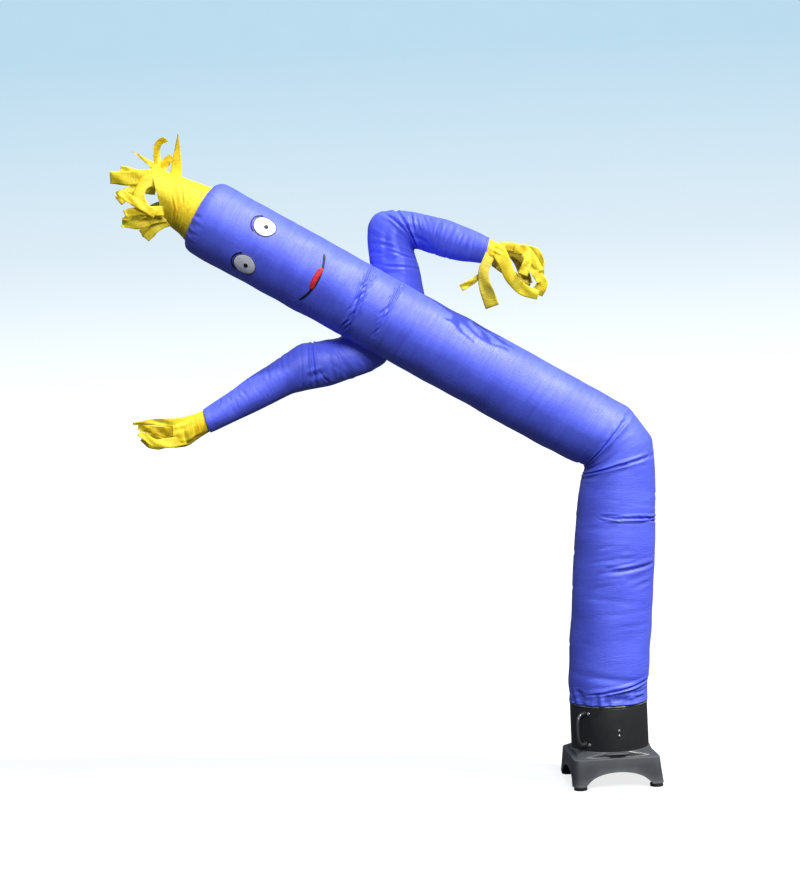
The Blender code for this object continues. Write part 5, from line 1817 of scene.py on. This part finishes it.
@dataclass
class BaseMoulding:
    """The moulded base: a flared skirt with round corners and arches, under a dished top."""

    half_low: float = 0.174
    half_high: float = 0.164
    corner: float = 0.027
    depth_share: float = 0.955
    edge_z: float = 0.11
    bottom_z: float = 0.0128
    top_z: float = 0.1362
    hole: float = 0.149
    wall: float = 0.004
    arch_half: float = 0.1175
    arch_rise: float = 0.05
    foot_height: float = 0.012
    lip_rise: float = 0.0006
    lip_lead: float = 0.002
    lip_gap: float = 0.0004
    lip_depth: float = 0.01

    SKIRT_STEPS = (0.3, 0.62, 0.9, 1.0)
    ARCH_FLARE = ((0.4, 1.012), (0.24, 1.024), (0.12, 1.03))

    def skirt(self) -> Piece:
        """Extrude the rounded square down into the flared skirt.

        Returns:
            The open shell, with a hole in its top.
        """
        Bench.clear()
        bpy.ops.mesh.primitive_plane_add(size=2 * self.half_high, location=(0.0, 0.0, self.edge_z))
        item = Bench.name(bpy.context.object, "base_shell")
        item.scale = (1.0, self.depth_share, 1.0)
        bpy.ops.object.transform_apply(location=True, rotation=False, scale=True)
        Bench.edit(item)
        bpy.ops.mesh.subdivide(number_cuts=1)
        Bench.pick(item, "VERT", lambda vert: len(vert.link_edges) == 2)
        bpy.ops.mesh.bevel(offset=self.corner, segments=9, affect="VERTICES")
        Bench.pick(item, "FACE", lambda face: True)
        bpy.ops.mesh.dissolve_limited(angle_limit=0.01, use_dissolve_boundaries=False)
        Bench.pick(item, "EDGE", lambda edge: edge.is_boundary and edge.calc_length() > 0.02)
        bpy.ops.mesh.subdivide(number_cuts=7)
        Bench.pick(item, "FACE", lambda face: True)
        bpy.ops.mesh.inset(thickness=0.0035, depth=0.0026)
        bpy.ops.mesh.inset(thickness=0.0045, depth=0.0016)
        bpy.ops.mesh.delete(type="FACE")
        drop = self.bottom_z - self.edge_z
        flare = self.half_low / self.half_high
        previous, reached = 1.0, 0.0
        for share in self.SKIRT_STEPS:
            Bench.pick(item, "EDGE", lambda edge: edge.is_boundary and self.outermost(edge, item))
            wanted = 1.0 + (flare - 1.0) * share ** 1.15
            Bench.draw_out(drop * (share - reached))
            Bench.resize(wanted / previous, wanted / previous)
            previous, reached = wanted, share
        return item

    @staticmethod
    def outermost(edge: bmesh.types.BMEdge, item: Piece) -> bool:
        """Tell whether a boundary edge belongs to the lower, outer boundary."""
        lowest = min(vert.co.z for vert in bmesh.from_edit_mesh(item.data).verts)
        return max(vert.co.z for vert in edge.verts) < lowest + 0.0005

    def dish(self, item: Piece) -> None:
        """Bridge the skirt's shoulder to the round hole in a dished slope.

        Args:
            item: the shell, in edit mode.
        """
        boundary = [edge for edge in bmesh.from_edit_mesh(item.data).edges
                    if edge.is_boundary and min(v.co.z for v in edge.verts) > self.edge_z + 0.001]
        count = len(boundary)
        bpy.ops.mesh.select_all(action="DESELECT")
        bpy.ops.mesh.primitive_circle_add(vertices=count, radius=self.hole + self.lip_lead,
                                          location=(0.0, 0.0, self.top_z - self.lip_rise), fill_type="NOTHING")
        Bench.pick(item, "EDGE", lambda edge: (edge.is_boundary or edge.is_wire)
                   and min(v.co.z for v in edge.verts) > self.edge_z + 0.001)
        bpy.ops.mesh.bridge_edge_loops(number_cuts=7, interpolation="SURFACE", smoothness=0.75)
        Bench.pick(item, "EDGE", lambda edge: edge.is_boundary
                   and min(v.co.z for v in edge.verts) > self.top_z - 0.002)
        Bench.draw_out(self.lip_rise)
        narrow = (self.hole + self.lip_gap) / (self.hole + self.lip_lead)
        Bench.resize(narrow, narrow, level=self.top_z)
        Bench.draw_out(-self.lip_depth)
        Bench.close(item)

    def arch_bar(self, turn: float) -> Piece:
        """Make the bar that cuts an arch with flared feet through two sides.

        Args:
            turn: the bar's turn about Z.

        Returns:
            The cutter.
        """
        bar = Bench.cylinder("arch_bar", 72, 1.0, -1.0, 1.0)
        bar.rotation_euler = (math.pi / 2, 0.0, 0.0)
        bpy.ops.object.transform_apply(location=False, rotation=True, scale=False)
        bar.scale = (self.arch_half, self.half_low + 0.03, self.arch_rise)
        bar.location = (0.0, 0.0, self.foot_height)
        bpy.ops.object.transform_apply(location=True, rotation=False, scale=True)
        Bench.edit(bar)
        for height, spread in self.ARCH_FLARE:
            Bench.pick(bar, "VERT", lambda vert: vert.co.z < self.foot_height + height * self.arch_rise)
            Bench.resize(spread, 1.0)
        Bench.close(bar)
        bar.data.transform(Matrix.Rotation(turn, 4, "Z"))
        return bar

    def build(self) -> list[Piece]:
        """Make the base.

        Returns:
            The base's piece.
        """
        item = self.skirt()
        self.dish(item)
        Bench.edit(item)
        bpy.ops.mesh.normals_make_consistent(inside=False)
        Bench.close(item)
        Bench.apply(item, "SOLIDIFY", thickness=self.wall, offset=-1.0, use_even_offset=True)
        for turn in (0.0, math.pi / 2):
            Bench.carve(item, self.arch_bar(turn))
        Bench.round_edges(item, 0.0009, 2, 50.0)
        Bench.settle(item, BLOWER_PLACE, 30.0)
        Bench.name(item, "base_shell")
        return [Bench.hand_over(item, "base_plastic_painted_sheen", "black_moulding", ("base_moulding",))]


@dataclass
class RubberFeet:
    """Four round rubber feet with a ribbed sole."""

    radius: float = 0.025
    height: float = 0.0116
    offset: float = 0.145
    lands: Range = (0.005, 0.004)
    groove: Range = (0.002, 0.0012)

    def build(self) -> list[Piece]:
        """Make one foot and copy it to the other corners.

        Returns:
            The four feet.
        """
        first = Bench.cylinder("foot_master", 48, self.radius, 0.0, self.height)
        Bench.edit(first)
        Bench.pick(first, "FACE", lambda face: face.normal.z < -0.9)
        width, deep = self.groove
        for land in self.lands:
            for thickness, depth in ((land, 0.0), (width, -deep), (width, deep)):
                bpy.ops.mesh.inset(thickness=thickness, depth=depth)
        Bench.close(first)
        Bench.round_edges(first, 0.0009, 3, 60.0)
        feet = []
        for name, side_x, side_y in (("front_left", -1, -1), ("front_right", 1, -1), ("back_right", 1, 1),
                                     ("back_left", -1, 1)):
            foot = Bench.copy(first, f"rubber_foot_{name}")
            spot = Matrix.Translation((side_x * self.offset, side_y * self.offset, 0.0))
            Bench.settle(foot, BLOWER_PLACE @ spot)
            feet.append(Bench.hand_over(foot, "black_rubber", "foot_rubber", (f"foot_{name}",)))
        bpy.data.objects.remove(first, do_unlink=True)
        return feet


@dataclass
class CarryGrip:
    """The bowed carrying grip with its two bosses and bolts."""

    angle: float = math.radians(48.75)
    bolt_angle: float = math.radians(41.25)
    low: float = 0.161
    high: float = 0.279
    stand_off: float = 0.044
    radius: float = 0.0062
    drum_radius: float = 0.148

    def bar(self) -> Piece:
        """Bend the bar along its bow and round its surface.

        Returns:
            The bar.
        """
        outline = ((-0.002, self.low), (0.016, self.low - 0.001), (0.034, self.low + 0.008),
                   (self.stand_off, self.low + 0.028), (self.stand_off + 0.0016, (self.low + self.high) / 2),
                   (self.stand_off, self.high - 0.028), (0.034, self.high - 0.008),
                   (0.016, self.high + 0.001), (-0.002, self.high))
        Bench.clear()
        bpy.ops.curve.primitive_nurbs_path_add(radius=1.0)
        item = Bench.name(bpy.context.object, "grip_bar")
        item.data.splines.clear()
        spline = item.data.splines.new("NURBS")
        spline.points.add(len(outline) - 1)
        for point, (out, height) in zip(spline.points, outline):
            point.co = (*drum_place(self.angle, self.drum_radius + out, height), 1.0)
        spline.order_u = 3
        spline.use_endpoint_u = True
        spline.resolution_u = 12
        item.data.bevel_depth = self.radius
        item.data.bevel_resolution = 7
        item.data.use_fill_caps = True
        Bench.hold(item)
        bpy.ops.object.convert(target="MESH")
        item = Bench.name(bpy.context.object, "grip_bar")
        Bench.settle(item, BLOWER_PLACE, 50.0)
        return Bench.hand_over(item, "satin_bar", "black_moulding", ("carry_grip",))

    def build(self) -> list[Piece]:
        """Make the bar, its bosses and its bolts.

        Returns:
            The grip's pieces.
        """
        pieces = [self.bar()]
        for name, height in (("low", self.low), ("high", self.high)):
            boss = Fastener(f"grip_boss_{name}", self.angle, height, 0.0105, 0.005, socket=0.0)
            pieces.append(boss.build("black_plastic", "black_moulding"))
            bolt = Fastener(f"plated_bolt_{name}", self.bolt_angle, height, 0.0055, 0.004, socket=0.0026)
            pieces.append(bolt.build("plated_steel", "bright_steel", (f"grip_bolt_{name}",)))
        return pieces


@dataclass
class Fastener:
    """A round head on the drum: a bolt with a recess, a screw with a slot or a plain boss."""

    title: str
    angle: float
    height: float
    radius: float
    thickness: float
    socket: float = 0.002
    drum_radius: float = 0.1481
    slotted: bool = False

    SHOULDER, CROWN = 0.22, 0.1
    SLOT_TURN = math.radians(24.0)

    def build(self, finish: str, slot: str, nodes: Sequence[str] = ()) -> Piece:
        """Make the head.

        Args:
            finish: its finish.
            slot: passed on to Bench.hand_over, which does not use it.
            nodes: the CAD nodes that it stands for.

        Returns:
            The head.
        """
        item = Bench.cylinder(self.title, 36, self.radius, 0.0, self.thickness)
        Bench.edit(item)
        Bench.pick(item, "FACE", lambda face: face.normal.z > 0.9)
        bpy.ops.mesh.inset(thickness=self.radius * self.SHOULDER, depth=self.radius * self.CROWN)
        if self.socket:
            bpy.ops.mesh.inset(thickness=self.radius * (1.0 - self.SHOULDER) - self.socket)
            bpy.ops.mesh.inset(thickness=0.0003, depth=-self.thickness * 0.5)
        Bench.close(item)
        Bench.round_edges(item, self.radius * 0.07, 2, 35.0)
        if self.slotted:
            Bench.clear()
            bpy.ops.mesh.primitive_cube_add(size=1.0, location=(0.0, 0.0, self.thickness * 1.15))
            blade = bpy.context.object
            blade.scale = (self.radius * 1.5, self.radius * 0.22, self.thickness * 0.9)
            bpy.ops.object.transform_apply(location=True, rotation=False, scale=True)
            Bench.edit(blade)
            bpy.ops.mesh.bevel(offset=self.radius * 0.04, segments=1, affect="EDGES")
            Bench.close(blade)
            blade.data.transform(Matrix.Rotation(self.SLOT_TURN, 4, "Z"))
            Bench.carve(item, blade)
        face_out = Matrix.Rotation(-self.angle, 4, "Z") @ Matrix.Rotation(math.pi / 2, 4, "X")
        spot = Matrix.Translation(drum_place(self.angle, self.drum_radius, self.height))
        Bench.settle(item, BLOWER_PLACE @ spot @ face_out)
        return Bench.hand_over(item, finish, slot, nodes)


class Blower:
    """Every piece of the blower."""

    SCREW_ANGLE = math.radians(-3.75)
    SCREW_LEVELS = (0.1975, 0.2165)
    KEPT = (("motor", "dark_steel"), ("motor_bracket", "dark_steel"), ("fan", "black_plastic"),
            ("intake_guard", "dark_steel"), ("lead_inlet", "black_rubber"))

    def build(self) -> list[Piece]:
        """Make the blower.

        Returns:
            Its new pieces.
        """
        pieces = [*DrumHousing().build(), *BaseMoulding().build(), *RubberFeet().build(),
                  *CarryGrip().build()]
        for index, level in enumerate(self.SCREW_LEVELS, start=1):
            screw = Fastener(f"housing_screw_{index}", self.SCREW_ANGLE, level, 0.0042, 0.003, socket=0.0,
                             slotted=True)
            pieces.append(screw.build("plated_steel", "bright_steel", (f"drum_screw_{index}",)))
        for node, finish in self.KEPT:
            PALETTE.put_on(bpy.data.objects[node], finish)
        return pieces


# The stage and the camera


@dataclass
class Studio:
    """The pale floor and backdrop, the soft lights and the camera."""

    floor_half: float = 14.0
    back_y: float = 9.0
    wall_height: float = 12.0
    camera_place: Point = (-0.76, -6.2, 1.45)
    pitch: float = math.radians(1.05)
    roll: float = math.radians(2.5)
    lens: float = 65.49
    sensor: float = 36.0

    def backdrop(self) -> Piece:
        """Sweep the floor up into a wall.

        Returns:
            The backdrop.
        """
        Bench.clear()
        bpy.ops.mesh.primitive_plane_add(size=2 * self.floor_half,
                                         location=(0.0, self.back_y - self.floor_half, 0.0))
        sweep = Bench.name(bpy.context.object, "studio_sweep")
        bpy.ops.object.transform_apply(location=True, rotation=False, scale=False)
        Bench.edit(sweep)
        Bench.pick(sweep, "EDGE", lambda edge: min(v.co.y for v in edge.verts) > self.back_y - 0.01)
        Bench.draw_out(self.wall_height)
        Bench.pick(sweep, "EDGE", lambda edge: len(edge.link_faces) == 2)
        bpy.ops.mesh.bevel(offset=3.0, segments=24, affect="EDGES")
        Bench.close(sweep)
        Bench.hold(sweep)
        bpy.ops.object.shade_smooth()
        sweep.data.materials.append(PALETTE["pale_paper"])
        sweep.visible_diffuse = False
        sweep.visible_glossy = False
        return sweep

    @staticmethod
    def lamp(name: str, kind: str, energy: float, colour: Colour, place: Point, aim: Point,
             size: float) -> Piece:
        """Hang one soft light.

        Args:
            name: the light's name.
            kind: AREA or SUN.
            energy: its power.
            colour: its colour.
            place: where it hangs.
            aim: the point that it faces.
            size: its width in metres, or a sun's angle in degrees.

        Returns:
            The light.
        """
        light = bpy.data.lights.new(name, kind)
        light.energy = energy
        light.color = colour
        if kind == "AREA":
            light.shape = "DISK"
            light.size = size
        else:
            light.angle = math.radians(size)
        item = Bench.link(name, light)
        way = Vector(aim) - Vector(place)
        item.matrix_world = Matrix.Translation(place) @ way.to_track_quat("-Z", "Y").to_matrix().to_4x4()
        return item

    def lights(self) -> None:
        """Hang the key from the upper right, the fills and the pale surroundings."""
        self.lamp("key_soft", "SUN", 3.7, (1.0, 0.985, 0.955), (4.8, -3.0, 8.3), (0.0, 0.0, 0.0), 3.0)
        self.lamp("front_fill", "AREA", 380.0, (0.96, 0.975, 1.0), (1.6, -5.6, 5.4), (-0.3, 0.0, 1.2), 2.4)
        world = bpy.data.worlds.new("studio_air")
        world.use_nodes = True
        tree = world.node_tree
        place = tree.nodes.new("ShaderNodeTexCoord")
        split = tree.nodes.new("ShaderNodeSeparateXYZ")
        ramp = tree.nodes.new("ShaderNodeValToRGB")
        tree.links.new(place.outputs["Generated"], split.inputs[0])
        tree.links.new(split.outputs[2], ramp.inputs[0])
        ramp.color_ramp.elements[0].position = 0.0
        ramp.color_ramp.elements[0].color = (0.16, 0.17, 0.2, 1.0)
        ramp.color_ramp.elements[1].position = 1.0
        ramp.color_ramp.elements[1].color = (0.7, 0.82, 1.0, 1.0)
        tree.links.new(ramp.outputs[0], tree.nodes["Background"].inputs["Color"])
        tree.nodes["Background"].inputs["Strength"].default_value = 0.52
        bpy.context.scene.world = world

    def camera(self) -> Piece:
        """Set the camera where the photograph was taken from.

        Returns:
            The camera.
        """
        data = bpy.data.cameras.new("photo_camera")
        data.lens = self.lens
        data.sensor_fit = "VERTICAL"
        data.sensor_height = self.sensor
        data.clip_end = 200.0
        item = Bench.link("photo_camera", data)
        forward = Vector((0.0, math.cos(self.pitch), -math.sin(self.pitch)))
        right = Vector((1.0, 0.0, 0.0))
        above = right.cross(forward)
        tilted_right = right * math.cos(self.roll) - above * math.sin(self.roll)
        tilted_up = above * math.cos(self.roll) + right * math.sin(self.roll)
        turn = Matrix((tilted_right, tilted_up, -forward)).transposed().to_4x4()
        item.matrix_world = Matrix.Translation(Vector(self.camera_place) + STAND) @ turn
        bpy.context.scene.camera = item
        return item


class AirDancer:
    """The whole object, built piece by piece."""

    def cloth(self) -> list[Piece]:
        """Make the cloth tubes, the face and the streamers.

        Returns:
            Every cloth piece.
        """
        body = body_tube()
        face = PrintedFace(body).build()
        pieces = [body.build(face), *face]
        for tube in (raised_sleeve(), lowered_sleeve(), raised_cuff(), lowered_cuff(), hair_tube()):
            pieces.append(tube.build())
        for name, rows, node, seed in (("hair_ribbons", HAIR_STREAMERS, "hair_streamers", 61),
                                       ("raised_hand_ribbons", RAISED_STREAMERS, "raised_streamers", 62),
                                       ("lowered_hand_ribbons", LOWERED_STREAMERS, "lowered_streamers", 63)):
            pieces.append(StreamerBunch(name, rows, (node,), seed).build())
        return pieces

    def build(self) -> None:
        """Make everything and log what was made."""
        cloth = self.cloth()
        blower = Blower().build()
        studio = Studio()
        studio.backdrop()
        studio.lights()
        studio.camera()
        bpy.context.scene.view_settings.view_transform = "Standard"
        LOG.info("%d cloth pieces and %d pieces of the blower", len(cloth), len(blower))


def main() -> None:
    """Build the scene."""
    logging.basicConfig(level=logging.INFO, format="%(name)s: %(message)s")
    AirDancer().build()
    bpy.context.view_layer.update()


if __name__ == "__main__":
    main()
